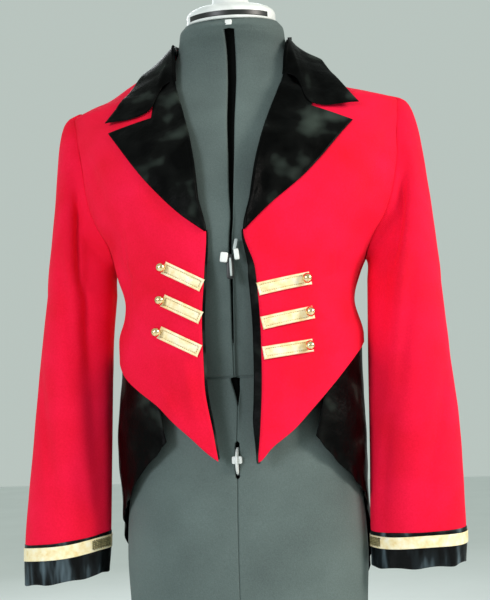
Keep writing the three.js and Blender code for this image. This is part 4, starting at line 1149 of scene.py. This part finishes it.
def armhole_point(name, angle):
    """A place on the armhole: 0 under the arm, a quarter turn in front, half a turn on the shoulder."""
    share = angle / math.pi
    front = share <= 1
    along = np.where(front, share, 2 - share)
    turn = np.radians(np.where(front, ARMHOLE_TURN["front"](along), ARMHOLE_TURN["back"](along)))
    return BODY.point(SIDES[name], turn, ARMHOLE_Z(along)) + np.array([SIDES[name] * ARMHOLE_SHIFT, 0, 0])


def sleeve_fold(name, angle, z):
    """How deep the folds press into a sleeve: depth exp(-((degrees - round) / width)^2) for each."""
    degrees = np.degrees(angle)
    total = 0.0
    for width, *path in SLEEVE_FOLDS[name]:
        rows = table(FOLD_PATH, *path)
        away = (degrees - curve(rows, "z", "round")(z)) / width
        inside = (z < rows["z"].max()) & (z > rows["z"].min())
        total = total + np.where(inside, curve(rows, "z", "depth")(z), 0) * np.exp(-away * away)
    return total


def tube_point(name, angle, z, lift=0.0, press=True):
    """A ring of the sleeve's tube: an ellipse between its inner and outer outline, less the folds."""
    rows = SLEEVES[name]
    inner, outer = curve(rows, "z", "inner")(z), curve(rows, "z", "outer")(z)
    end_z = rows["z"].min()
    out = lift - (sleeve_fold(name, angle, z) if press else 0.0)
    half = (outer - inner) / 2 + out
    lower = SLEEVE_HEM_DROP[name] * (1 - np.cos(angle)) / 2 + SLEEVE_FRONT_DROP[name] * np.sin(angle)
    lower = lower * smooth(SLEEVE_HEAD_Z - z, 0, SLEEVE_HEAD_Z - end_z)
    x = SIDES[name] * ((inner + outer) / 2 - half * np.cos(angle))
    y = curve(rows, "z", "middle")(z) - (curve(rows, "z", "depth")(z) + out) * np.sin(angle)
    return np.stack(np.broadcast_arrays(x, y, z - lower), -1)


def sleeve(name):
    """The sleeve: a Hermite blend from the armhole to the top ring, then rings down to the cuff."""
    side = SIDES[name]
    degrees = np.unique(np.concatenate([np.arange(0, 360, 3.0), [-1.6, -0.8, 0.8, 1.6]])) % 360
    angle = np.radians(np.sort(np.unique(degrees)))[None, :]
    share = np.linspace(0, 1, 56)[:-1][:, None, None]
    start = armhole_point(name, angle)
    end = tube_point(name, angle, np.full_like(angle, SLEEVE_HEAD_Z), press=False)
    high = (1 - np.cos(angle)) / 2
    out = mix(*SLEEVE_HEAD_LEAVE["out"], high)
    rise = mix(SLEEVE_HEAD_LEAVE["up"], SLEEVE_HEAD_RISE[name], high)
    leave = np.stack([side * out, -SLEEVE_HEAD_LEAVE["back"] * np.sin(angle), rise], -1)
    arrive = np.zeros_like(end)
    arrive[..., 2] = SLEEVE_HEAD_ARRIVE * (end[..., 2] - start[..., 2])
    s2, s3 = share ** 2, share ** 3
    head = (start * (2 * s3 - 3 * s2 + 1) + leave * (s3 - 2 * s2 + share)
            + end * (3 * s2 - 2 * s3) + arrive * (s3 - s2))
    flat = SLEEVE_HEAD_FLAT[name] * share[..., 0] ** 3 * (1 - share[..., 0]) ** 2 / FLAT_PEAK
    head[..., 0] -= side * flat * high ** 2
    end_z = SLEEVES[name]["z"].min()
    z = np.linspace(SLEEVE_HEAD_Z, end_z + CUFF_HEIGHT[name] + 0.3, 110)[:, None]
    tube = tube_point(name, angle, z, press=False)
    grid = np.concatenate([head, tube])
    normal = outward_normals(grid, True)
    fade = smooth(np.concatenate([share[:, 0, 0], np.ones(len(z))]), 0, 0.35)[:, None]
    seam = 0.7 * np.exp(-(np.degrees(angle) / 1.2) ** 2)
    press = sleeve_fold(name, angle, grid[..., 2]) * fade + seam
    soft = ripple("sleeve", np.degrees(angle) * 0.8, grid[..., 2], 5 + side) * fade
    round_wave = np.where(np.degrees(angle) < 340, soft, 0)
    return grid + normal * (round_wave - press)[..., None]


def band(name, low, high, lift, wave, rows=14):
    """A band round the sleeve between two heights, with a wave (round, share down) added."""
    angle = np.radians(np.arange(0, 360, 2.5))[None, :]
    z = np.linspace(high, low, rows)[:, None]
    share = np.linspace(0, 1, rows)[:, None]
    out, drop = wave(angle, share)
    grid = tube_point(name, angle, z, lift + out)
    grid[..., 2] -= drop
    return grid


def cuff_wave(name):
    """The cuff's lower edge flares unevenly: the wave grows with the square of the way down."""
    seed = SIDES[name] + 2

    def wave(angle, share):
        ruck = np.sin(5 * angle + seed) + 0.7 * np.sin(9 * angle + 2 * seed) + 0.5 * np.sin(14 * angle)
        return (0.1 + 2.0 * share ** 2) * ruck / 2.2, share ** 2 * np.sin(7 * angle + 1.3 * seed)
    return wave


def ribbon_wave(name):
    """The ribbon's selvedges stand out a little, and it puckers round the sleeve."""
    seed = SIDES[name] + 3

    def wave(angle, share):
        edge = 0.2 * np.exp(-(np.minimum(share, 1 - share) * RIBBON_HEIGHT[name] / 1.2) ** 2)
        pucker = 0.1 * np.sin(16 * angle + seed) + 0.06 * np.sin(23 * angle)
        return edge + pucker, 0.5 * np.sin(4 * angle + seed) + 0 * share
    return wave


LAP_TURN = {"left": (14, 38), "right": (8, 46)}  # degrees round the sleeve that the ribbon's lap covers
LAP_SHARE = (0.1, 0.86)  # where the lap lies across the ribbon
FRAY = (14, 0.09)  # its teeth to a radian, and their share of the ribbon's width
LAP_FLAT = {"left": (0.022, 0.012), "right": (0.036, 0.012)}


def ribbon_lap(name, high):
    """The short end of the cuff ribbon that laps over the rest, reverse side out.

    Its cut edges are frayed: they run in and out in small teeth, |2 frac(n angle) - 1|.
    """
    angle = np.radians(np.linspace(*LAP_TURN[name], 60))[:, None]
    teeth = np.abs(2 * np.mod(angle * FRAY[0], 1) - 1) * FRAY[1]
    share = mix(LAP_SHARE[0] + teeth, LAP_SHARE[1] - teeth, np.linspace(0, 1, 14)[None, :])
    z = high - RIBBON_HEIGHT[name] * share
    out, drop = ribbon_wave(name)(angle, share)
    grid = tube_point(name, angle + 0 * z, z, RIBBON_LIFT + RIBBON_CLOTH + 1.0 + out)
    grid[..., 2] -= drop
    return grid


# ---------------------------------------------------------------- tails


def tail(name):
    """A tail: it hangs from inside the hem, spreads over the hip and falls in soft folds behind."""
    side = SIDES[name]
    up = np.linspace(0, 1, 110)[:, None]
    across = np.linspace(0, 1, 84)[None, :]
    vent = np.radians(mix(TAIL_VENT[1], TAIL_VENT[0], up))
    front = np.radians(mix(TAIL_FRONT[name][1], TAIL_FRONT[name][0], up))
    turn = mix(front, math.pi - vent, across)
    top = HEM_Z[name](np.degrees(turn)) + TAIL_TUCK
    hem = curve(TAIL_HEM, "along", name)(across)
    z = mix(hem, top, up)
    lowest = TAIL_HEM[name].min()
    loose = smooth(top - z, 20, top - lowest)
    wave = TAIL_FOLD["depth"] * loose * (1 - np.cos(2 * math.pi * TAIL_FOLD["count"] * across))
    crinkle = smooth(top - z, 25, 90) * (
        ripple("tail", across * 300, z * 0.45, 9 + side) + ripple("tail_fine", across * 300, z, 3 + side))
    narrow = 1.3 * np.sin(across * 95 + 2.0 * np.sin(across * 23)) * smooth(1 - up, 0.86, 1.0)
    tucked = BODY.point(side, turn, z)
    under = BODY.lift(tucked, -2.8 - fold(FRONT_FOLDS[name], tucked[..., 0], z) * (turn < QUARTER)
                      - fold(BACK_FOLDS, tucked[..., 0], z) * (turn >= QUARTER))
    hanging = TAIL.lift(TAIL.point(side, turn, z), wave + crinkle + narrow)
    below = smooth(top - z, TAIL_TUCK + 4, TAIL_TUCK + 50)[..., None]
    return under * (1 - below) + hanging * below


# ---------------------------------------------------------------- dress form


# Columns of the form's grid over the front: distances from the middle when the slot is plain. They
# are carried along with the slot, so that its edges follow columns.
SLOT_EDGE = 5.0
FRONT_SPAN = 44.0
SLOT_COLUMNS = np.array([0, 1.6, 3.2, 4.55, 4.8, 5, 5.3, 5.8, 6.6, 8, 10, 13, 16, 20, 25, 31, 37, 44])


def slot_depth(columns):
    """How much of the slot's depth is reached at each column: a steep wall with a soft edge."""
    at = [0, 4.55, 4.8, 5, 5.3, 5.8, 6.6]
    return np.interp(columns, at, [1, 1, 0.97, 0.5, 0.1, 0.025, 0])


def form_rows():
    """Heights of the form's rings, closer together where the slot changes."""
    plain = np.linspace(FORM_BOTTOM_Z, FORM_TOP_Z, 190)
    close = [np.arange(a, b, step) for a, b, step in ((645, 656, 1), (686, 698, 1), (730, 808, 1.5),
                                                      (764, 773, 0.5), (1210, 1240, 0.9))]
    return np.unique(np.round(np.concatenate([plain, *close]), 2))


def form_body(materials):
    """The form: its rings, less a slot down the front, the gap at the waist and soft creases."""
    z = form_rows()[:, None]
    middle, half, depth = (curve(FORM_SLOT, "z", name)(z) for name in ("middle", "half", "depth"))
    share = np.linspace(0, 1, 62)[1:-1]
    parts = []
    for side in (1.0, -1.0):
        inside = middle * side + half * SLOT_COLUMNS / SLOT_EDGE
        beyond = (SLOT_COLUMNS - SLOT_EDGE) / (FRONT_SPAN - SLOT_EDGE)
        outside = mix(middle * side + half, FRONT_SPAN, beyond)
        x = np.where(SLOT_COLUMNS <= SLOT_EDGE, inside, outside)
        near_side = np.where(x * side > 0, side, -side)
        near = FORM.point(near_side, FORM.turn_at(x * side, np.abs(x), z), z + 0 * x)
        near[..., 0] = x * side
        turn = mix(FORM.turn_at(side, FRONT_SPAN, z), math.pi, share)
        far = FORM.point(side, turn, z + 0 * turn)
        parts.append((near, far))
    back = FORM.point(1.0, np.full_like(z, math.pi), z)
    (near_left, far_left), (near_right, far_right) = parts
    grid = np.concatenate([near_left, far_left, back, far_right[:, ::-1], near_right[:, :0:-1]], axis=1)
    far_count = len(share)
    plain = np.full(2 * far_count + 1, FRONT_SPAN)
    columns = np.concatenate([SLOT_COLUMNS, plain, SLOT_COLUMNS[:0:-1]])
    x, zz = grid[..., 0], grid[..., 2].copy()
    facing = (columns < FRONT_SPAN)[None, :]
    slot = depth * slot_depth(columns)[None, :] * facing
    waist = WAIST["depth"] * np.exp(-((zz - WAIST["z"]) / WAIST["width"]) ** 2)
    crease = 1.2 * np.exp(-((zz - 808 - 0.3 * (x - 3)) / 2.6) ** 2 - ((x - 10) / 8) ** 2) * facing
    tuck = 1.6 * np.exp(-((x - 12 - 0.05 * (zz - 850)) / 3.0) ** 2 - ((zz - 843) / 26) ** 2) * facing
    right_shell = smooth(x, middle, middle + 5) * facing + (~facing) * (x > 0) * (grid[..., 1] < 0)
    step = RIGHT_SET_BACK * right_shell * smooth(zz, 690, 760) * (1 - smooth(zz, 930, 1000))
    grid = FORM.lift(grid, -(slot + waist + crease + tuck + step))
    lean = np.tan(NECK_LEAN) * smooth(zz, NECK_LEAN_Z, FORM_TOP_Z)
    grid[..., 2] = grid[..., 2] + grid[..., 1] * lean
    # Painted shade: the slot's faces deeper than 2.2 mm take the near-black slot finish.
    dark = (slot > 2.2) & (columns <= SLOT_EDGE)[None, :]
    following = np.roll(dark, -1, 1)
    corner = dark[:-1] & dark[1:] & following[:-1] & following[1:]
    return capped("form_body_cover", grid, (materials["form"], materials["slot"]),
                  corner.astype(int))


# Radius and height of the neck cap: a flat dome with a knob.
CAP_PROFILE = (
    (0.3, 0), (57, 0), (58.6, 0.5), (59, 1.8), (59, 10), (58.4, 12.5), (56.4, 15.6), (52, 18.8),
    (46, 21.2), (38, 23), (30, 24.2), (26.4, 25), (25, 26.4), (24, 30), (23.4, 37), (22.4, 40),
    (19.5, 42), (14, 42.6), (0.3, 42.8),
)
BLOCK_POWER = 0.3  # 0 is a sharp box, 1 an ellipsoid
# The small blocks of the waist adjuster: middle (x, y behind its front face, z), size, lean in
# degrees and finish.
BLOCKS = {
    # The recess is a dark block set in the adjuster's hollow: painted shade.
    "adjuster_recess_shade": ((4.2, 5.4, 900), (8, 5, 30), 0, "dark"),
    "adjuster_block_right": ((-2.4, 2, 911), (9, 5, 12), 8, "white"),
    "adjuster_block_left": ((12.8, 2, 914), (6, 5, 13), -6, "white"),
    "adjuster_pin": ((5.4, 2, 899), (2.4, 5, 22), -2, "grey"),
    "adjuster_slide": ((11.4, 4, 926), (4, 4, 14), 12, "grey"),
}
# Radius and width of the hip adjuster's wheel.
WHEEL_PROFILE = ((0.3, -1.7), (15, -1.7), (16.2, -1.3), (16.8, -0.5), (16.8, 0.5), (16.2, 1.3),
                 (15, 1.7), (0.3, 1.7))


def neck_place():
    """Where the neck cap sits: on the leaning top of the form's neck."""
    return Matrix.Translation((0, 0, FORM_TOP_Z + 0.6)) @ Matrix.Rotation(NECK_LEAN, 4, "X")


def rounded(profile, step):
    """A profile with its points carried through a curve, a step apart, so that it turns softly."""
    points = np.array(profile, float)
    length = np.concatenate([[0], np.cumsum(np.linalg.norm(np.diff(points, axis=0), axis=1))])
    at = np.linspace(0, length[-1], max(8, int(length[-1] / step)))
    at = np.unique(np.concatenate([at, length]))
    return np.stack([np.interp(at, length, points[:, k]) for k in (0, 1)], -1)


CAP_BAND = {"from": 212, "to": 330, "low": 3.2, "high": 9.2, "arch": 2.2, "radius": 59.5}


def cap_band(material):
    """The plain dark band printed on the front of the neck cap, as a thin raised strip."""
    angle = np.radians(np.linspace(CAP_BAND["from"], CAP_BAND["to"], 90))[:, None]
    z = np.linspace(CAP_BAND["low"], CAP_BAND["high"], 8)[None, :]
    arch = CAP_BAND["arch"] * (-np.sin(angle) - 0.7)
    radius = CAP_BAND["radius"]
    grid = np.stack(np.broadcast_arrays(radius * np.cos(angle), radius * np.sin(angle), z + arch), -1)
    return shell("neck_cap_band", placed(grid, neck_place()), 0.4, material)


def rounded_block(name, size, material, place):
    """A block with soft edges: a superquadric, whose sines and cosines are raised to a power."""
    v = np.linspace(-QUARTER, QUARTER, 26)[1:-1][:, None]
    u = (np.arange(48) * 2 * math.pi / 48)[None, :]

    def power(value):
        return np.sign(value) * np.abs(value) ** BLOCK_POWER

    x = size[0] / 2 * power(np.cos(v)) * power(np.cos(u))
    y = size[1] / 2 * power(np.cos(v)) * power(np.sin(u))
    z = size[2] / 2 * power(np.sin(v)) + 0 * u
    return capped(name, np.stack([x, y, z], -1), (material,), place=place)


# ---------------------------------------------------------------- properties


class JacketSizes(bpy.types.PropertyGroup):
    """Sizes and colours of the jacket that a user would change."""

    cloth: bpy.props.FloatProperty(name="Cloth", description="Thickness of the red cloth with its facing",
                                   default=0.0016, min=0.0008, max=0.003, subtype="DISTANCE", unit="LENGTH")
    satin: bpy.props.FloatProperty(name="Satin", description="Thickness of the satin trim",
                                   default=0.0012, min=0.0005, max=0.002, subtype="DISTANCE", unit="LENGTH")
    surround: bpy.props.FloatVectorProperty(name="Surround", description="Colour of the studio all round",
                                            default=linear("#c6d2cc")[:3], subtype="COLOR", min=0, max=1)
    key_power: bpy.props.FloatProperty(name="Key light", description="Power of the large soft light",
                                       default=56.0, min=0, subtype="POWER", unit="POWER")


FINISHES = {}
# The cuffs' satin, whose shine is painted in bands, fills the black satin slot.
SLOTS = {"red": "red_cotton", "satin": "black_satin", "pressed": "black_satin",
         "ribbon": "gold_ribbon", "reverse": "gold_ribbon"}


def sizes():
    """The scene's settings of the jacket."""
    return bpy.context.scene.jacket_sizes


def settle(piece, slot, *nodes):
    """The piece rides on the frame and stands for the solids that it replaces; the slot is not used."""
    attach(piece, "root")
    if nodes:
        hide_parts(*nodes)


def lay(name, grid, thickness, finish, *nodes, ringed=False, **cut):
    """A finished sheet of cloth: its wall, with coordinates on its flat cut, and the solid that it stands
    for; the sizes given in cut are not used.
    """
    piece = shell(name, grid, thickness, FINISHES[finish], ringed)
    settle(piece, SLOTS[finish], *nodes)


# ---------------------------------------------------------------- operators


class JACKET_OT_fronts(bpy.types.Operator):
    """Makes the two red fronts"""
    bl_idname = "jacket.fronts"
    bl_label = "Fronts"

    def execute(self, context):
        for name in SIDES:
            lay(f"front_cloth_{name}", front_panel(name), sizes().cloth * METRE, "red", f"front_{name}",
                flat=(0.30, 0.56), held="draped", rests_on=["form_body_cover"], area=0.081)
        return {"FINISHED"}


class JACKET_OT_backs(bpy.types.Operator):
    """Makes the two red backs"""
    bl_idname = "jacket.backs"
    bl_label = "Backs"

    def execute(self, context):
        for name in SIDES:
            lay(f"back_cloth_{name}", back_panel(name), sizes().cloth * METRE, "red", f"back_{name}",
                flat=(0.27, 0.42), held="draped", rests_on=["form_body_cover"], area=0.090)
        return {"FINISHED"}


class JACKET_OT_sleeves(bpy.types.Operator):
    """Makes the two sleeves with their cuffs and cuff ribbons"""
    bl_idname = "jacket.sleeves"
    bl_label = "Sleeves and cuffs"

    def execute(self, context):
        cloth = sizes().cloth * METRE
        for name in SIDES:
            height, width = CUFF_HEIGHT[name], RIBBON_HEIGHT[name]
            end_z = SLEEVES[name]["z"].min()
            high = end_z + height - RIBBON_DROP[name]
            ring = band(name, high - width, high, RIBBON_LIFT + RIBBON_CLOTH, ribbon_wave(name), 16)
            lay(f"sleeve_cloth_{name}", sleeve(name), cloth, "red", f"sleeve_{name}", ringed=True,
                flat=(0.34, 0.56), held="draped", rests_on=[f"front_cloth_{name}"], area=0.139)
            # The cuff's satin has its shine painted into its colour in upright bands.
            lay(f"cuff_satin_{name}", band(name, end_z, end_z + height, 0.6, cuff_wave(name), 26), cloth,
                "pressed", f"cuff_{name}", ringed=True, flat=(0.27, (height + 3) / METRE), held="draped",
                rests_on=[f"sleeve_cloth_{name}"])
            lay(f"cuff_ribbon_band_{name}", ring, RIBBON_CLOTH, "ribbon", f"cuff_ribbon_{name}",
                ringed=True, flat=(0.275, width / METRE), held="draped", rests_on=[f"cuff_satin_{name}"])
            lay(f"cuff_ribbon_lap_{name}", ribbon_lap(name, high), RIBBON_CLOTH, "reverse",
                flat=LAP_FLAT[name], held="draped", rests_on=[f"cuff_ribbon_band_{name}"])
        return {"FINISHED"}


class JACKET_OT_lapels(bpy.types.Operator):
    """Makes the satin lapels, the collar and the narrow front edges"""
    bl_idname = "jacket.lapels"
    bl_label = "Lapels and collar"

    def execute(self, context):
        thickness = sizes().satin * METRE
        for name in SIDES:
            width, area = EDGE_FLAT[name]
            lay(f"lapel_satin_{name}", lapel(name), thickness, "satin", f"lapel_{name}",
                flat=(0.13, 0.24), held="draped", rests_on=[f"front_cloth_{name}"], area=0.0155)
            # On the left the facing is widened as painted shadow of the front's edge.
            lay(f"edge_facing_{name}", edge_trim(name), thickness, "satin", f"edge_trim_{name}",
                flat=(width, 0.28), held="draped", rests_on=[f"front_cloth_{name}"], area=area)
        lay("collar_satin", collar(), thickness, "satin", "collar", flat=(0.50, 0.115), held="folded",
            rests_on=["back_cloth_left", "back_cloth_right"], area=0.040)
        return {"FINISHED"}


class JACKET_OT_tabs(bpy.types.Operator):
    """Makes the ribbon tabs with their stitches and ball buttons"""
    bl_idname = "jacket.tabs"
    bl_label = "Tabs and buttons"

    def execute(self, context):
        for name in SIDES:
            for k in range(3):
                length = float(np.hypot(*tab_frame(name, k)[1])) / METRE
                lay(f"tab_ribbon_{name}_{k + 1}", tab(name, k), TAB_CLOTH, "ribbon", f"tab_{name}_{k + 1}",
                    flat=(TAB_WIDTH / METRE, length), held="laid", rests_on=[f"front_cloth_{name}"])
                ball = turned_body(f"button_ball_{name}_{k + 1}", BUTTON_PROFILE, 40, FINISHES["gold"],
                                   button_place(f"button_{name}_{k + 1}"))
                settle(ball, "gold_button", f"button_{name}_{k + 1}")
            settle(tab_stitches(name, FINISHES["thread"]), "gold_ribbon")
        return {"FINISHED"}


def button_place(node):
    """The middle of a button's solid, turned to face out of the jacket."""
    low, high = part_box(node)
    centre = (Vector(low) + Vector(high)) / 2 * METRE
    out = Vector((centre.x, centre.y * 2.2, 0)).normalized()
    return Matrix.Translation(centre) @ out.to_track_quat("Z", "Y").to_matrix().to_4x4()


class JACKET_OT_tails(bpy.types.Operator):
    """Makes the two satin tails"""
    bl_idname = "jacket.tails"
    bl_label = "Tails"

    def execute(self, context):
        for name in SIDES:
            lay(f"tail_satin_{name}", tail(name), TAIL_CLOTH, "satin", f"tail_{name}",
                flat=(0.36, 0.52), held="hung", rests_on=[f"back_cloth_{name}"], area=0.100)
        return {"FINISHED"}


def make_block(name, place, size, lean, finish):
    """A small block of the form, leaning in the plane that faces the front: plastic, or painted shade in
    the adjuster's recess.
    """
    turned = Matrix.Translation(place) @ Matrix.Rotation(math.radians(lean), 4, "Y")
    settle(rounded_block(name, size, FINISHES[finish], turned), "white_plastic")


class JACKET_OT_form(bpy.types.Operator):
    """Makes the dress form's cover, neck cap and adjusters"""
    bl_idname = "jacket.form"
    bl_label = "Dress form"

    def execute(self, context):
        settle(form_body(FINISHES), "form_cover", "form_body")
        cap = turned_body("neck_cap_dome", rounded(CAP_PROFILE, 2.5), 96, FINISHES["white"], neck_place())
        settle(cap, "white_plastic", "form_neck_cap")
        settle(cap_band(FINISHES["dark"]), "white_plastic")
        waist, hip = (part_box(f"form_adjuster_{level}")[0][1] * METRE for level in ("upper", "lower"))
        for name, ((x, behind, z), *rest) in BLOCKS.items():
            make_block(name, (x, waist + behind, z), *rest)
        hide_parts("form_adjuster_upper")
        make_block("neck_peg", (3.4, -56.5, 1222.5), (9, 5, 7), 0, "white")
        place = Matrix.Translation((2.6, hip + 17.2, 669)) @ Matrix.Rotation(QUARTER, 4, "Y")
        wheel = turned_body("adjuster_wheel", WHEEL_PROFILE, 64, FINISHES["white"], place)
        settle(wheel, "white_plastic", "form_adjuster_lower")
        make_block("adjuster_hub", (2.6, hip + 7.5, 671), (12, 6, 9), 0, "white")
        return {"FINISHED"}


class JACKET_OT_stand(bpy.types.Operator):
    """Gives the pole and base their finish"""
    bl_idname = "jacket.stand"
    bl_label = "Stand"

    def execute(self, context):
        for node in ("stand_base", "stand_pole"):
            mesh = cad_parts[node].data
            mesh.materials.clear()
            mesh.materials.append(FINISHES["steel"])
        return {"FINISHED"}


# ---------------------------------------------------------------- stage

FLOOR = 8.0  # half its width in metres
WORLD_STRENGTH = 0.86
# Place in metres, power in watts, size in metres and colour of each soft light. The window's
# power is a property.
LAMPS = {
    "window": ((2.3, -0.9, 1.7), None, 0.8, "#fff8f0"),
    "front": ((-1.3, -2.3, 1.4), 33.0, 0.8, "#f6f8ff"),
    "behind": ((-0.8, 2.2, 2.2), 30.0, 1.6, "#f4f8ff"),
}
LAMP_AIM = Vector((0, 0, 0.9))
CAMERA = {"azimuth": 7.0, "distance": 1.3, "height": 0.741, "aim": 0.871, "shift_right": 0.0065,
          "roll": 1.8, "lens": 60.3}


class JACKET_OT_stage(bpy.types.Operator):
    """Makes the floor, the soft lights and the camera"""
    bl_idname = "jacket.stage"
    bl_label = "Stage"

    def execute(self, context):
        scene = context.scene
        floor = bpy.data.meshes.new("floor")
        corners = [(x * FLOOR, y * FLOOR, 0) for x, y in ((-1, -1), (1, -1), (1, 1), (-1, 1))]
        floor.from_pydata(corners, [], [(0, 1, 2, 3)])
        floor.materials.append(FINISHES["floor"])
        plane = bpy.data.objects.new("studio_floor", floor)
        scene.collection.objects.link(plane)
        make_world(scene)
        make_lights(scene)
        make_camera(scene)
        return {"FINISHED"}


def make_world(scene):
    """A pale, slightly green grey all round."""
    world = bpy.data.worlds.new("Studio")
    world.use_nodes = True
    shade = world.node_tree.nodes["Background"]
    shade.inputs["Color"].default_value = (*sizes().surround, 1)
    shade.inputs["Strength"].default_value = WORLD_STRENGTH
    scene.world = world


def make_lights(scene):
    """A large soft light from the wearer's left, a fill from the other side and one from behind."""
    for name, (place, power, size, colour) in LAMPS.items():
        data = bpy.data.lights.new(name, "AREA")
        data.energy, data.size, data.color = power or sizes().key_power, size, linear(colour)[:3]
        lamp = bpy.data.objects.new(name, data)
        lamp.location = place
        lamp.rotation_euler = (LAMP_AIM - Vector(place)).to_track_quat("-Z", "Y").to_euler()
        scene.collection.objects.link(lamp)


def make_camera(scene):
    """Chest high, a little to the wearer's left, tipped up, rolled slightly."""
    turn = math.radians(CAMERA["azimuth"])
    back = Vector((math.sin(turn), -math.cos(turn), 0))
    right = Vector((math.cos(turn), math.sin(turn), 0)) * CAMERA["shift_right"]
    place = back * CAMERA["distance"] + right + Vector((0, 0, CAMERA["height"]))
    aim = right + Vector((0, 0, CAMERA["aim"])) - place
    scene.view_settings.view_transform = "Standard"  # keeps the red as strong as the dyed cloth
    data = bpy.data.cameras.new("camera")
    data.lens, data.sensor_width = CAMERA["lens"], 36.0
    camera = bpy.data.objects.new("camera", data)
    camera.location = place
    look = aim.to_track_quat("-Z", "Y").to_matrix()
    camera.rotation_euler = (look @ Matrix.Rotation(-math.radians(CAMERA["roll"]), 3, "Z")).to_euler()
    scene.collection.objects.link(camera)
    scene.camera = camera


class JACKET_PT_panel(bpy.types.Panel):
    """Lists the steps of the jacket"""
    bl_idname = "JACKET_PT_panel"
    bl_label = "Ringmaster jacket"
    bl_space_type = "VIEW_3D"
    bl_region_type = "UI"
    bl_category = "Jacket"

    def draw(self, context):
        column = self.layout.column()
        for name in ("cloth", "satin", "surround", "key_power"):
            column.prop(context.scene.jacket_sizes, name)
        for step in STEPS:
            column.operator(step.bl_idname)


STEPS = (JACKET_OT_form, JACKET_OT_stand, JACKET_OT_fronts, JACKET_OT_backs, JACKET_OT_sleeves,
         JACKET_OT_lapels, JACKET_OT_tabs, JACKET_OT_tails, JACKET_OT_stage)
CLASSES = (JacketSizes, *STEPS, JACKET_PT_panel)


def register():
    for item in CLASSES:
        bpy.utils.register_class(item)
    bpy.types.Scene.jacket_sizes = bpy.props.PointerProperty(type=JacketSizes)


def unregister():
    del bpy.types.Scene.jacket_sizes
    for item in reversed(CLASSES):
        bpy.utils.unregister_class(item)


def main():
    """Makes every piece in order."""
    register()
    FINISHES.update(make_materials())
    for step in STEPS:
        group, name = step.bl_idname.split(".")
        getattr(getattr(bpy.ops, group), name)()


if __name__ == "__main__":
    main()
